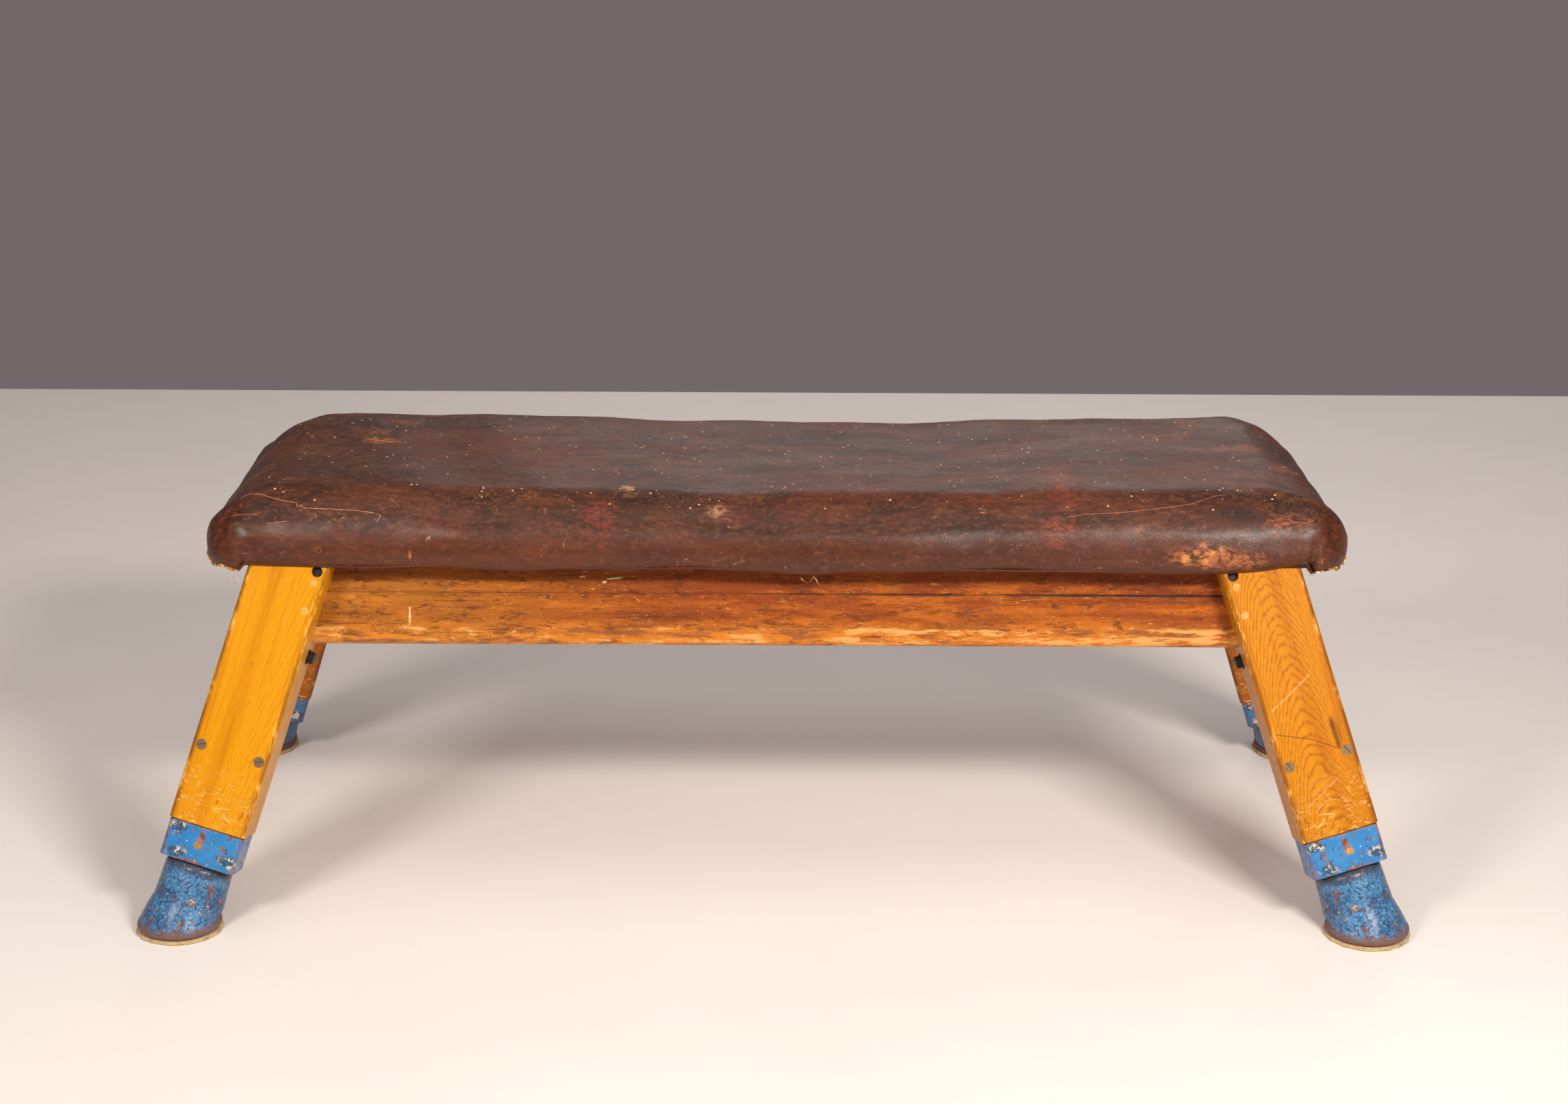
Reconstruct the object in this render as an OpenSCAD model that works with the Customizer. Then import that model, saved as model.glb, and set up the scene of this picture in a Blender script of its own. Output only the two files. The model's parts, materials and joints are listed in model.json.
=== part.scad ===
// Low gymnastics horse: a leather-topped deck on four telescoping wooden legs.
// The origin is on the floor under the middle. +X is along the horse, -Y is its front.

/* [Stance] */
// Distance of each foot from the middle, along the length
foot_x = 758; // [700:1:820]
// Distance of each foot from the middle, across the width
foot_y = 312; // [300:1:324]
// Lean of the legs across the width, in degrees
splay = 17.5; // [16.5:0.1:18]
// Lean of the legs along the length, in degrees, within their slanted side
rake = 17.3; // [16.5:0.1:18.5]
// Height of the deck's underside above the floor
deck_z = 462; // [455:1:475]

/* [Leg sleeve] */
// Width of a sleeve, along the horse
sleeve_w = 100; // [96:1:110]
// Thickness of a sleeve, both halves together
sleeve_t = 84; // [80:1:90]
// Width of the channel that the inner post slides in
channel_w = 52; // [46:1:54]
// Thickness of that channel
channel_t = 44; // [38:1:46]
// Radius of the sleeve's long edges
sleeve_r = 6; // [3:0.5:8]
// Height of the shoulder that the collar meets, along the leg
shoulder_at = 138.6; // [130:0.1:150]

/* [Collar] */
// Height of the steel collar
collar_h = 47; // [40:1:50]
// Wall of the collar
collar_wall = 3; // [2:0.5:3]
// How far the collar's face lies behind the wood
collar_inset = 1.5; // [0.5:0.5:2]

/* [Post and foot] */
// Clearance between the post and the channel, on each side
post_gap = 0.5; // [0.3:0.1:0.8]
// Height of the post's top along the leg, when pushed in
post_top = 488; // [480:1:489]
// How far a post slides out
post_travel = 90; // [60:1:90]
// Height of the cast foot's top along the leg, when pushed in
foot_top = 88.5; // [84:0.5:88.5]
// Diameter of the foot's neck at its top
neck_d = 86; // [82:1:90]
// Diameter of the foot's flange
flange_d = 107; // [102:1:112]
// Thickness of the felt pad
felt_t = 4; // [3:0.5:6]

/* [Rails] */
// Thickness of the long rails
rail_t = 34; // [30:1:36]
// Height of the long rails' lower beam, along the slanted side
rail_h = 66; // [60:1:68]
// Where the long rails' lower edge is, along the slanted side
rail_at = 363.5; // [360:0.5:368]
// How far the upper batten's face lies behind the rail's face
batten_step = 2; // [1:0.5:4]
// Thickness of the end rails
end_rail_t = 30; // [24:1:34]
// Height of the end rails
end_rail_h = 70; // [60:1:80]

/* [Deck] */
// Half the deck's length
deck_half_x = 702; // [690:1:702]
// Half the deck's width
deck_half_y = 212; // [211:1:212]
// Thickness of the deck boards
deck_t = 22; // [18:1:24]
// Number of screws along each row of the front and back boards
row_screws = 5; // [3:1:7]

/* [Cushion] */
// Half the cushion's length
cushion_half_x = 724; // [720:1:728]
// Half the cushion's width
cushion_half_y = 228; // [227:1:232]
// Height of the cushion's top above the floor
cushion_top = 538; // [530:1:548]
// Height of the leather's lower edge above the floor
hem_z = 449; // [447:1:450]
// Radius of the cushion's corners, seen from above
cushion_corner_r = 62; // [60:1:68]
// Thickness of the leather
leather_t = 3; // [2.5:0.5:3]
// Distance between two tacks in the hem
tack_pitch = 44; // [36:1:60]

/* [Hidden] */
$fn = 48;
CORNERS = [
    ["front_left", -1, -1],
    ["front_right", 1, -1],
    ["back_left", -1, 1],
    ["back_right", 1, 1]
];
SIDES = [["front", -1], ["back", 1]];
ENDS = [["left", -1], ["right", 1]];
BOARDS = [["front", -1], ["middle", 0], ["back", 1]];
BATTENS = [["left", -1], ["centre", 0], ["right", 1]];
LEG_NODES = [
    "outer_half",
    "inner_half",
    "collar",
    "inner_post",
    "foot_casting",
    "foot_screw",
    "felt_pad",
    "clamp_bolt"
];

// Sleeve
wood_gap = 0.3;
half_w = sleeve_w / 2;
half_t = sleeve_t / 2;
land_x = (half_w + channel_w / 2) / 2;
sleeve_end = 92;
collar_joint = 2;
collar_at = shoulder_at - collar_joint - collar_h;
collar_half_w = half_w - collar_inset;
collar_half_t = half_t - collar_inset;
collar_r = 9;
tongue_gap = 0.1;

// Sleeve screws, staggered so that those from the two faces miss each other
outer_screw_at = 237;
inner_screw_at = 217;
screw_head_d = 14;
screw_head_h = 4;
screw_shank_d = 6.5;
screw_length = 48;
slot_width = 0.13;
slot_depth = 0.8;

// Collar screws
brass_head_d = 9.5;
brass_head_h = 2.6;
brass_shank_d = 4.5;
brass_length = 18;
brass_off_centre = -5;

// Joints between the rails and the legs
dowel_d = 10;
dowels_at = [437, 474];
dowel_depth = 78;
fixing_x = land_x - 2;
bolt_at = 489;
bolt_d = 8;
bolt_spare = 2;
bolt_recess_d = 14;
bolt_recess = 8;
bolt_head_d = 13.6;
bolt_head_h = 5;
washer_d = 20;
washer_t = 1.6;
nut_w = 13;
nut_h = 6.5;
tenon_from = 28.5;
tenon_overlap = 2;
tenon_t = 18;
tenon_y = 10;
rail_tenon = [400, 455];
batten_tenon = [468, 506];
rail_front_y = 2;
rail_round = 9;
batten_at = rail_at + rail_h + wood_gap;
end_rail_x = 617;
end_rail_let_in = 10;
cross_w = 44;
cross_h = 22;
cross_pitch = 300;

// Clamp bolt, in the side of the inner half
clamp_at = 378;
clamp_y = 11;
bush_d = 14;
bush_flange_d = 20;
bush_flange_t = 1.5;
clamp_d = 8;
clamp_running = 0.05;
clamp_head_d = 16;
clamp_head_h = 6;
clamp_head_gap = 0.3;
clamp_tip_gap = 0.6;
clamp_slot_w = 2.4;
clamp_slot_depth = 2.5;
groove_w = 9;
groove_depth = 8;
groove_margin = 8;

// Post and foot
post_w = channel_w - 2 * post_gap;
post_t = channel_t - 2 * post_gap;
spigot_w = 40;
spigot_t = 36;
spigot_end = 38;
socket_gap = 0.2;
coach_d = 8;
coach_head_w = 16;
coach_head_at = 20;
coach_recess_at = 26;
coach_recess_d = 24;
coach_end = 80;
shoulder_r = 8;
neck_foot_r = 45;
lip_h = 10;
flare_w = 6;
flare_h = 16;
felt_d = flange_d + 0.5;

// Deck and cushion
deck_top = deck_z + deck_t;
deck_corner_r = 45;
board_gap = 0.8;
board_w = 2 * deck_half_y / 3;
deck_head_d = 9;
deck_head_h = 4;
deck_shank_d = 5;
deck_screw_length = 40;
deck_screws_y = [45, 92, 124];
deck_row_y = 147;
edge_r_top = 40;
edge_r_bottom = 14;
opening_x = deck_half_x + 2.8;
opening_y = deck_half_y + 2.8;
riser_t = 3;
hem_t = 3;
hem_w = 27;
hem_lap = 1;
hem_half_x = 540;
hem_half_y = 150;
hem_top = deck_z - wood_gap;
lining_gap = 0.3;
lining_t = 1.2;
tack_head_d = 9;
tack_head_h = 2;
tack_shank_d = 2.2;
tack_length = 16;
tack_inset = 14;
tack_margin = 20;
tack_taper = 2.5;
far = 2000;

// Frames of reference

// Moves from the front left corner to any corner
module at_corner(corner) {
    mirror([corner[1] > 0 ? 1 : 0, 0, 0])
        mirror([0, corner[2] > 0 ? 1 : 0, 0])
            children();
}

// The slanted front side: x along the horse, y inwards, z up the slope
module on_side() {
    translate([0, -foot_y, 0])
        rotate([-splay, 0, 0])
            children();
}

// The front left leg: x inwards along the horse, y inwards across it, z up the leg
module on_leg() {
    translate([-foot_x, -foot_y, 0])
        rotate([-splay, 0, 0])
            rotate([0, rake, 0])
                children();
}

// A spot on a leg's face, with z pointing out of the wood
module on_outer_face(x, at) {
    translate([x, -half_t, at])
        rotate([90, 0, 0])
            children();
}

module on_inner_face(x, at) {
    translate([x, half_t, at])
        rotate([-90, 0, 0])
            children();
}

// The clamp bolt's axis, with z pointing out of the leg's inner side
module on_clamp_axis() {
    translate([0, clamp_y, clamp_at])
        rotate([0, 90, 0])
            children();
}

// Plain shapes

module round_rect(half_x, half_y, r) {
    square([2 * (half_x - r), 2 * half_y], center = true);
    square([2 * half_x, 2 * (half_y - r)], center = true);
    for (x = [-1, 1], y = [-1, 1])
        translate([x * (half_x - r), y * (half_y - r)])
            circle(r);
}

// A bar's section with its two lower edges rounded
module rail_section(t, h, r) {
    translate([0, r])
        square([t, h - r]);
    translate([r, 0])
        square([t - 2 * r, 2 * r]);
    for (x = [r, t - r])
        translate([x, r])
            circle(r);
}

// A countersunk screw or its hole, lying along -z with its head flush at z = 0
module countersunk(head_d, head_h, shank_d, length) {
    translate([0, 0, -head_h])
        cylinder(h = head_h, d1 = shank_d, d2 = head_d);
    translate([0, 0, -length])
        cylinder(h = length - head_h, d = shank_d);
}

module slotted(head_d, head_h, shank_d, length, turn) {
    difference() {
        countersunk(head_d, head_h, shank_d, length);
        rotate([0, 0, turn])
            cube([head_d + 1, head_d * slot_width, head_h * slot_depth], center = true);
    }
}

// Places along the leg that the wood and its fasteners share

module at_sleeve_screws() {
    for (side = [-1, 1]) {
        on_outer_face(side * land_x, outer_screw_at)
            children();
        on_inner_face(side * land_x, inner_screw_at)
            children();
    }
}

module at_collar_screws() {
    collar_mid = collar_at + collar_h / 2;
    for (side = [-1, 1]) {
        translate([brass_off_centre, side * collar_half_t, collar_mid])
            rotate([-side * 90, 0, 0])
                children();
        translate([side * collar_half_w, -brass_off_centre, collar_mid])
            rotate([0, side * 90, 0])
                children();
    }
}

module sleeve_screw(turn) {
    slotted(screw_head_d, screw_head_h, screw_shank_d, screw_length, turn);
}

module brass_screw(turn) {
    slotted(brass_head_d, brass_head_h, brass_shank_d, brass_length, turn);
}

module dowel_holes() {
    for (at = dowels_at)
        on_outer_face(fixing_x, at)
            translate([0, 0, -dowel_depth])
                cylinder(h = dowel_depth, d = dowel_d);
}

module bolt_hole() {
    on_outer_face(fixing_x, bolt_at) {
        translate([0, 0, -sleeve_t])
            cylinder(h = sleeve_t, d = bolt_d);
        translate([0, 0, -bolt_recess - bolt_head_h])
            cylinder(h = bolt_recess + bolt_head_h, d = bolt_recess_d);
    }
}

module leg_tenon(span) {
    translate([tenon_from, tenon_y, span[0]])
        cube([half_w + tenon_overlap - tenon_from, tenon_t, span[1] - span[0]]);
}

// Keeps only what lies under the deck
module under_deck() {
    difference() {
        children();
        translate([-far, -far, deck_z])
            cube([2 * far, 2 * far, far]);
    }
}

// Takes away what would lie past the leg's inner side, at both ends
module between_legs() {
    difference() {
        children();
        for (end = [0, 1])
            mirror([end, 0, 0])
                on_leg()
                    translate([half_w - far, -far, -far])
                        cube([far, 2 * far, 2 * far]);
    }
}

// Sleeve

module sleeve_section(half_x, half_y, r, side) {
    difference() {
        intersection() {
            round_rect(half_x, half_y, r);
            translate([0, side * half_y])
                square([2 * half_x + 2, 2 * half_y], center = true);
        }
        square([channel_w, channel_t], center = true);
    }
}

module sleeve_stock(side) {
    tongue_x = collar_half_w - collar_wall - tongue_gap;
    tongue_y = collar_half_t - collar_wall - tongue_gap;
    translate([0, 0, shoulder_at])
        linear_extrude(deck_z)
            sleeve_section(half_w, half_t, sleeve_r, side);
    translate([0, 0, sleeve_end])
        linear_extrude(shoulder_at - sleeve_end)
            sleeve_section(tongue_x, tongue_y, collar_r - collar_wall, side);
}

module outer_half() {
    color("goldenrod")
        under_deck()
            on_leg()
                difference() {
                    sleeve_stock(-1);
                    at_sleeve_screws()
                        countersunk(screw_head_d, screw_head_h, screw_shank_d, screw_length);
                    at_collar_screws()
                        countersunk(brass_head_d, brass_head_h, brass_shank_d, brass_length);
                    dowel_holes();
                    bolt_hole();
                }
}

module inner_half() {
    color("peru")
        difference() {
            under_deck()
                on_leg()
                    difference() {
                        sleeve_stock(1);
                        at_sleeve_screws()
                            countersunk(screw_head_d, screw_head_h, screw_shank_d, screw_length);
                        at_collar_screws()
                            countersunk(brass_head_d, brass_head_h, brass_shank_d, brass_length);
                        dowel_holes();
                        bolt_hole();
                        leg_tenon(rail_tenon);
                        leg_tenon(batten_tenon);
                        on_clamp_axis()
                            cylinder(h = half_w + 1, d = bush_d);
                    }
            end_rail_bar();
        }
}

module collar() {
    color("steelblue")
        on_leg()
            difference() {
                translate([0, 0, collar_at])
                    linear_extrude(collar_h)
                        difference() {
                            round_rect(collar_half_w, collar_half_t, collar_r);
                            round_rect(
                                collar_half_w - collar_wall,
                                collar_half_t - collar_wall,
                                collar_r - collar_wall
                            );
                        }
                at_collar_screws()
                    countersunk(brass_head_d, brass_head_h, brass_shank_d, brass_length);
            }
}

module sleeve_screws() {
    color("dimgray")
        for (i = [0 : 3])
            at_corner(CORNERS[i])
                on_leg()
                    at_sleeve_screws()
                        sleeve_screw(25 + 40 * i);
}

module collar_screws() {
    color("gold")
        for (i = [0 : 3])
            at_corner(CORNERS[i])
                on_leg()
                    at_collar_screws()
                        brass_screw(60 + 35 * i);
}

// Post and foot, which slide as one

module inner_post() {
    color("burlywood")
        on_leg()
            difference() {
                union() {
                    translate([-post_w / 2, -post_t / 2, foot_top])
                        cube([post_w, post_t, post_top - foot_top]);
                    translate([-spigot_w / 2, -spigot_t / 2, spigot_end])
                        cube([spigot_w, spigot_t, foot_top - spigot_end + 1]);
                }
                translate([
                    post_w / 2 - groove_depth,
                    clamp_y - groove_w / 2,
                    clamp_at - groove_margin
                ])
                    cube([groove_depth + 1, groove_w, post_travel + 2 * groove_margin]);
                translate([0, 0, spigot_end - 1])
                    cylinder(h = coach_end - spigot_end + 1, d = coach_d);
            }
}

// The neck's outline beside the leg's axis: a rounded shoulder on a slight cone
module neck_outline() {
    top_r = neck_d / 2;
    polygon([
        [0, -neck_foot_r],
        [neck_foot_r, -neck_foot_r],
        [neck_foot_r, neck_foot_r],
        [top_r, foot_top - shoulder_r],
        for (a = [15 : 15 : 75])
            [
                top_r - shoulder_r + shoulder_r * cos(a),
                foot_top - shoulder_r + shoulder_r * sin(a)
            ],
        [top_r - shoulder_r, foot_top],
        [0, foot_top]
    ]);
}

// The flat flange: a rounded lip under a hollow slope
module flange_outline() {
    lip_r = lip_h / 2;
    rim = flange_d / 2 - lip_r;
    lip_top = felt_t + lip_h;
    polygon([
        [0, felt_t],
        [rim, felt_t],
        for (a = [-60 : 30 : 60])
            [rim + lip_r * cos(a), felt_t + lip_r + lip_r * sin(a)],
        [rim, lip_top],
        for (a = [15 : 15 : 90])
            [rim - flare_w * sin(a), lip_top + flare_h * (1 - cos(a))],
        [0, lip_top + flare_h]
    ]);
}

module foot_casting() {
    color("royalblue")
        difference() {
            union() {
                on_leg()
                    rotate_extrude()
                        neck_outline();
                translate([-foot_x, -foot_y, 0])
                    rotate_extrude()
                        flange_outline();
            }
            on_leg() {
                translate([
                    -spigot_w / 2 - socket_gap,
                    -spigot_t / 2 - socket_gap,
                    spigot_end - socket_gap
                ])
                    cube([spigot_w + 2 * socket_gap, spigot_t + 2 * socket_gap, foot_top]);
                cylinder(h = spigot_end, d = coach_d + 2 * socket_gap);
                translate([0, 0, -40])
                    cylinder(h = 40 + coach_recess_at, d = coach_recess_d);
            }
            translate([-far, -far, felt_t - far])
                cube([2 * far, 2 * far, far]);
        }
}

module foot_screw() {
    color("gray")
        on_leg() {
            translate([0, 0, coach_head_at])
                cylinder(h = coach_recess_at - coach_head_at, d = coach_head_w, $fn = 6);
            translate([0, 0, coach_recess_at])
                cylinder(h = coach_end - coach_recess_at, d = coach_d);
        }
}

module felt_pad() {
    color("wheat")
        translate([-foot_x, -foot_y, 0])
            cylinder(h = felt_t, d = felt_d);
}

// Clamp

module clamp_bush() {
    from = channel_w / 2 + 1;
    difference() {
        union() {
            translate([0, 0, from])
                cylinder(h = half_w - from, d = bush_d);
            translate([0, 0, half_w])
                cylinder(h = bush_flange_t, d = bush_flange_d);
        }
        cylinder(h = half_w + bush_flange_t + 1, d = clamp_d + 2 * clamp_running);
    }
}

module clamp_bushes() {
    color("darkslategray")
        for (corner = CORNERS)
            at_corner(corner)
                on_leg()
                    on_clamp_axis()
                        clamp_bush();
}

module clamp_bolt() {
    tip = post_w / 2 - groove_depth + clamp_tip_gap;
    head = half_w + bush_flange_t + clamp_head_gap;
    color("black")
        on_leg()
            on_clamp_axis()
                difference() {
                    union() {
                        translate([0, 0, tip])
                            cylinder(h = head - tip, d = clamp_d);
                        translate([0, 0, head])
                            cylinder(h = clamp_head_h, d = clamp_head_d);
                    }
                    translate([0, 0, head + clamp_head_h])
                        cube(
                            [clamp_head_d + 1, clamp_slot_w, 2 * clamp_slot_depth],
                            center = true
                        );
                }
}

// Rails

module long_rail() {
    color("sienna") {
        between_legs()
            on_side()
                translate([-far / 2, rail_front_y, rail_at])
                    rotate([90, 0, 90])
                        linear_extrude(far)
                            rail_section(rail_t, rail_h, rail_round);
        for (end = [0, 1])
            mirror([end, 0, 0])
                on_leg()
                    difference() {
                        leg_tenon(rail_tenon);
                        dowel_holes();
                    }
    }
}

module long_batten() {
    front = rail_front_y + batten_step;
    color("saddlebrown") {
        under_deck()
            between_legs()
                on_side()
                    translate([-far / 2, front, batten_at])
                        cube([far, rail_t - batten_step, deck_z]);
        for (end = [0, 1])
            mirror([end, 0, 0])
                on_leg()
                    difference() {
                        leg_tenon(batten_tenon);
                        dowel_holes();
                        bolt_hole();
                    }
    }
}

// The left end rail, let into the inner halves of both left legs
module end_rail_bar() {
    depth = half_t - end_rail_let_in;
    difference() {
        translate([-end_rail_x - end_rail_t / 2, -foot_y, deck_z - end_rail_h])
            cube([end_rail_t, 2 * foot_y, end_rail_h]);
        for (side = [0, 1])
            mirror([0, side, 0])
                on_side()
                    translate([-far, depth - far, -far])
                        cube([2 * far, far, 3 * far]);
    }
}

module end_rail() {
    color("sienna")
        end_rail_bar();
}

module cross_batten(place) {
    color("burlywood")
        difference() {
            translate([
                place * cross_pitch - cross_w / 2,
                -foot_y,
                deck_z - cross_h
            ])
                cube([cross_w, 2 * foot_y, cross_h]);
            for (side = [0, 1])
                mirror([0, side, 0])
                    on_side()
                        translate([-far, rail_front_y + rail_t - far, -far])
                            cube([2 * far, far, 3 * far]);
        }
}

module rail_dowels() {
    color("khaki")
        for (corner = CORNERS)
            at_corner(corner)
                on_leg()
                    dowel_holes();
}

// A leg bolt, lying along -z from the wood's face at z = 0
module leg_bolt() {
    under_head = bolt_recess + bolt_head_h;
    end = sleeve_t + washer_t + nut_h + bolt_spare;
    translate([0, 0, -under_head])
        cylinder(h = bolt_head_h, d = bolt_head_d);
    translate([0, 0, -end])
        cylinder(h = end - under_head, d = bolt_d);
}

module leg_bolts() {
    color("dimgray")
        for (corner = CORNERS)
            at_corner(corner)
                on_leg()
                    on_outer_face(fixing_x, bolt_at)
                        leg_bolt();
}

module leg_washers() {
    color("gray")
        for (corner = CORNERS)
            at_corner(corner)
                on_leg()
                    on_inner_face(fixing_x, bolt_at)
                        difference() {
                            cylinder(h = washer_t, d = washer_d);
                            cylinder(h = 3 * washer_t, d = bolt_d + 0.2, center = true);
                        }
}

module leg_nuts() {
    color("gray")
        for (corner = CORNERS)
            at_corner(corner)
                on_leg()
                    on_inner_face(fixing_x, bolt_at)
                        translate([0, 0, washer_t])
                            difference() {
                                translate([-nut_w / 2, -nut_w / 2, 0])
                                    cube([nut_w, nut_w, nut_h]);
                                cylinder(h = 3 * nut_h, d = bolt_d, center = true);
                            }
}

// Deck

module deck_board(row) {
    color("tan")
        translate([0, 0, deck_z])
            linear_extrude(deck_t)
                intersection() {
                    round_rect(deck_half_x, deck_half_y, deck_corner_r);
                    translate([0, row * board_w])
                        square([3 * deck_half_x, board_w - board_gap], center = true);
                }
}

module deck_screw() {
    translate([0, 0, deck_top])
        countersunk(deck_head_d, deck_head_h, deck_shank_d, deck_screw_length);
}

module deck_screws() {
    crossings = [
        for (batten = BATTENS) batten[1] * cross_pitch,
        for (end = ENDS) end[1] * end_rail_x
    ];
    color("gray") {
        for (x = crossings, y = deck_screws_y, side = [-1, 1])
            translate([x, side * y, 0])
                deck_screw();
        for (i = [1 : row_screws - 1], side = [-1, 1])
            translate([(2 * i / row_screws - 1) * end_rail_x, side * deck_row_y, 0])
                deck_screw();
    }
}

// Cushion

// Outline of the cushion's rounded edge beside a corner's axis
module cushion_edge(inset) {
    r = cushion_corner_r - inset;
    top_r = edge_r_top - inset;
    low_r = edge_r_bottom - inset;
    top = cushion_top - inset;
    low = hem_z + inset;
    polygon([
        [0, low],
        for (a = [-90 : 15 : 0])
            [r - low_r + low_r * cos(a), low + low_r + low_r * sin(a)],
        for (a = [0 : 10 : 90])
            [r - top_r + top_r * cos(a), top - top_r + top_r * sin(a)],
        [0, top]
    ]);
}

// The whole cushion, deck and all, drawn in from its skin by inset
module cushion_block(inset) {
    hull()
        for (x = [-1, 1], y = [-1, 1])
            translate([
                x * (cushion_half_x - cushion_corner_r),
                y * (cushion_half_y - cushion_corner_r),
                0
            ])
                rotate_extrude($fn = 40)
                    cushion_edge(inset);
}

module opening_prism(grow, top) {
    translate([0, 0, hem_z - 10])
        linear_extrude(top - hem_z + 10)
            round_rect(opening_x + grow, opening_y + grow, deck_corner_r + grow);
}

module padding() {
    inset = leather_t + 2 * lining_gap + lining_t;
    color("tan")
        difference() {
            cushion_block(inset);
            opening_prism(riser_t + lining_gap, deck_z);
            translate([0, 0, deck_z - 1])
                linear_extrude(deck_t + 1)
                    round_rect(deck_half_x + wood_gap, deck_half_y + wood_gap, deck_corner_r);
        }
}

module jute_lining() {
    inset = leather_t + lining_gap;
    color("burlywood")
        difference() {
            cushion_block(inset);
            cushion_block(inset + lining_t);
            opening_prism(riser_t + lining_gap, deck_z);
        }
}

// The leather's edges, turned in under the deck
module hem_strips() {
    width = hem_w + hem_lap;
    for (side = [0, 1]) {
        mirror([0, side, 0])
            translate([-hem_half_x, opening_y - hem_w, hem_top - hem_t])
                cube([2 * hem_half_x, width, hem_t]);
        mirror([side, 0, 0])
            translate([opening_x - hem_w, -hem_half_y, hem_top - hem_t])
                cube([width, 2 * hem_half_y, hem_t]);
    }
}

module leather_cover() {
    color("saddlebrown") {
        difference() {
            cushion_block(0);
            cushion_block(leather_t);
            opening_prism(0, hem_z + 2 * leather_t);
        }
        difference() {
            translate([0, 0, hem_z + 1])
                linear_extrude(hem_top - hem_z - 1)
                    round_rect(opening_x + riser_t, opening_y + riser_t, deck_corner_r + riser_t);
            opening_prism(0, deck_z + 1);
        }
        hem_strips();
    }
}

module tack() {
    translate([0, 0, hem_top - hem_t - tack_head_h])
        cylinder(h = tack_head_h, d1 = tack_head_d - tack_taper, d2 = tack_head_d);
    translate([0, 0, hem_top - hem_t])
        cylinder(h = tack_length, d = tack_shank_d);
}

module upholstery_tacks() {
    long_count = floor((hem_half_x - tack_margin) / tack_pitch);
    end_count = floor((hem_half_y - tack_margin) / tack_pitch);
    color("darkgray")
        for (side = [-1, 1]) {
            for (i = [-long_count : long_count])
                translate([i * tack_pitch, side * (opening_y - tack_inset), 0])
                    tack();
            for (i = [-end_count : end_count])
                translate([side * (opening_x - tack_inset), i * tack_pitch, 0])
                    tack();
        }
}

// Every part

for (board = BOARDS) {
    deck_board(board[1]);
}
for (batten = BATTENS) {
    cross_batten(batten[1]);
}
for (side = SIDES) {
    turn = [0, side[1] > 0 ? 1 : 0, 0];
    mirror(turn) long_rail();
    mirror(turn) long_batten();
}
for (end = ENDS) {
    turn = [end[1] > 0 ? 1 : 0, 0, 0];
    mirror(turn) end_rail();
}
for (c = CORNERS) {
    at_corner(c) outer_half();
    at_corner(c) inner_half();
    at_corner(c) collar();
    at_corner(c) inner_post();
    at_corner(c) foot_casting();
    at_corner(c) foot_screw();
    at_corner(c) felt_pad();
    at_corner(c) clamp_bolt();
}
sleeve_screws();
collar_screws();
rail_dowels();
leg_bolts();
leg_washers();
leg_nuts();
clamp_bushes();
deck_screws();
padding();
jute_lining();
leather_cover();
upholstery_tacks();
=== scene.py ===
"""A low leather-topped gymnastics horse on four telescoping wooden legs, in metres."""

import json
import math
import random

import bpy
import numpy as np
from mathutils import Matrix, Vector, noise
from mathutils.bvhtree import BVHTree


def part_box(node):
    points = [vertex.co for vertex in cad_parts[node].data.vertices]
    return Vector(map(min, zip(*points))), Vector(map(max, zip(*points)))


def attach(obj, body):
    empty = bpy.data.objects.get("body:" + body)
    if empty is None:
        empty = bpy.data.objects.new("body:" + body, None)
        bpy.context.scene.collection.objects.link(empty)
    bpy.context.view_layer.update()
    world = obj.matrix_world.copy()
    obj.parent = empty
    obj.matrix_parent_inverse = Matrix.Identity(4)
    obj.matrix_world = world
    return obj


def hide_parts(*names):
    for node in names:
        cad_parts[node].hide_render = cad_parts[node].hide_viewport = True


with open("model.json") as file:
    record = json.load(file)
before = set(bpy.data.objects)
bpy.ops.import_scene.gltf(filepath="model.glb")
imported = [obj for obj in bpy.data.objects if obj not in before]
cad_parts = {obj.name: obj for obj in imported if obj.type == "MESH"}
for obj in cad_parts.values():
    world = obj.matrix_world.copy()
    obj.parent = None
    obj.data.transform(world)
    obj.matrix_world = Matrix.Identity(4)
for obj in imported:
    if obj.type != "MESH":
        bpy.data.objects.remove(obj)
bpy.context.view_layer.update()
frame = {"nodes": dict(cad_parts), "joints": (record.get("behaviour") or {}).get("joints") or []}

CORNERS = ("front_left", "front_right", "back_left", "back_right")

# ---------------------------------------------------------------- small helpers


def srgb(red, green, blue):
    """A linear colour from 0-255 display values."""
    parts = []
    for value in (red, green, blue):
        c = value / 255
        parts.append(c / 12.92 if c <= 0.04045 else ((c + 0.055) / 1.055) ** 2.4)
    return (*parts, 1.0)


def smooth(value, low, high):
    """0 below low, 1 above high and a smooth step between them; works on arrays."""
    t = np.clip((np.asarray(value, float) - low) / (high - low), 0, 1)
    return t * t * (3 - 2 * t)


def mesh_piece(name, points, faces, material, shade_smooth=True):
    mesh = bpy.data.meshes.new(name)
    mesh.from_pydata([tuple(p) for p in points], [], faces)
    mesh.update()
    if shade_smooth:
        mesh.polygons.foreach_set("use_smooth", [True] * len(mesh.polygons))
    mesh.materials.append(material)
    piece = bpy.data.objects.new(name, mesh)
    bpy.context.scene.collection.objects.link(piece)
    return piece


def place(piece, body, slot, *replaced):
    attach(piece, body)
    if replaced:
        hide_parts(*replaced)
    return piece


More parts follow.
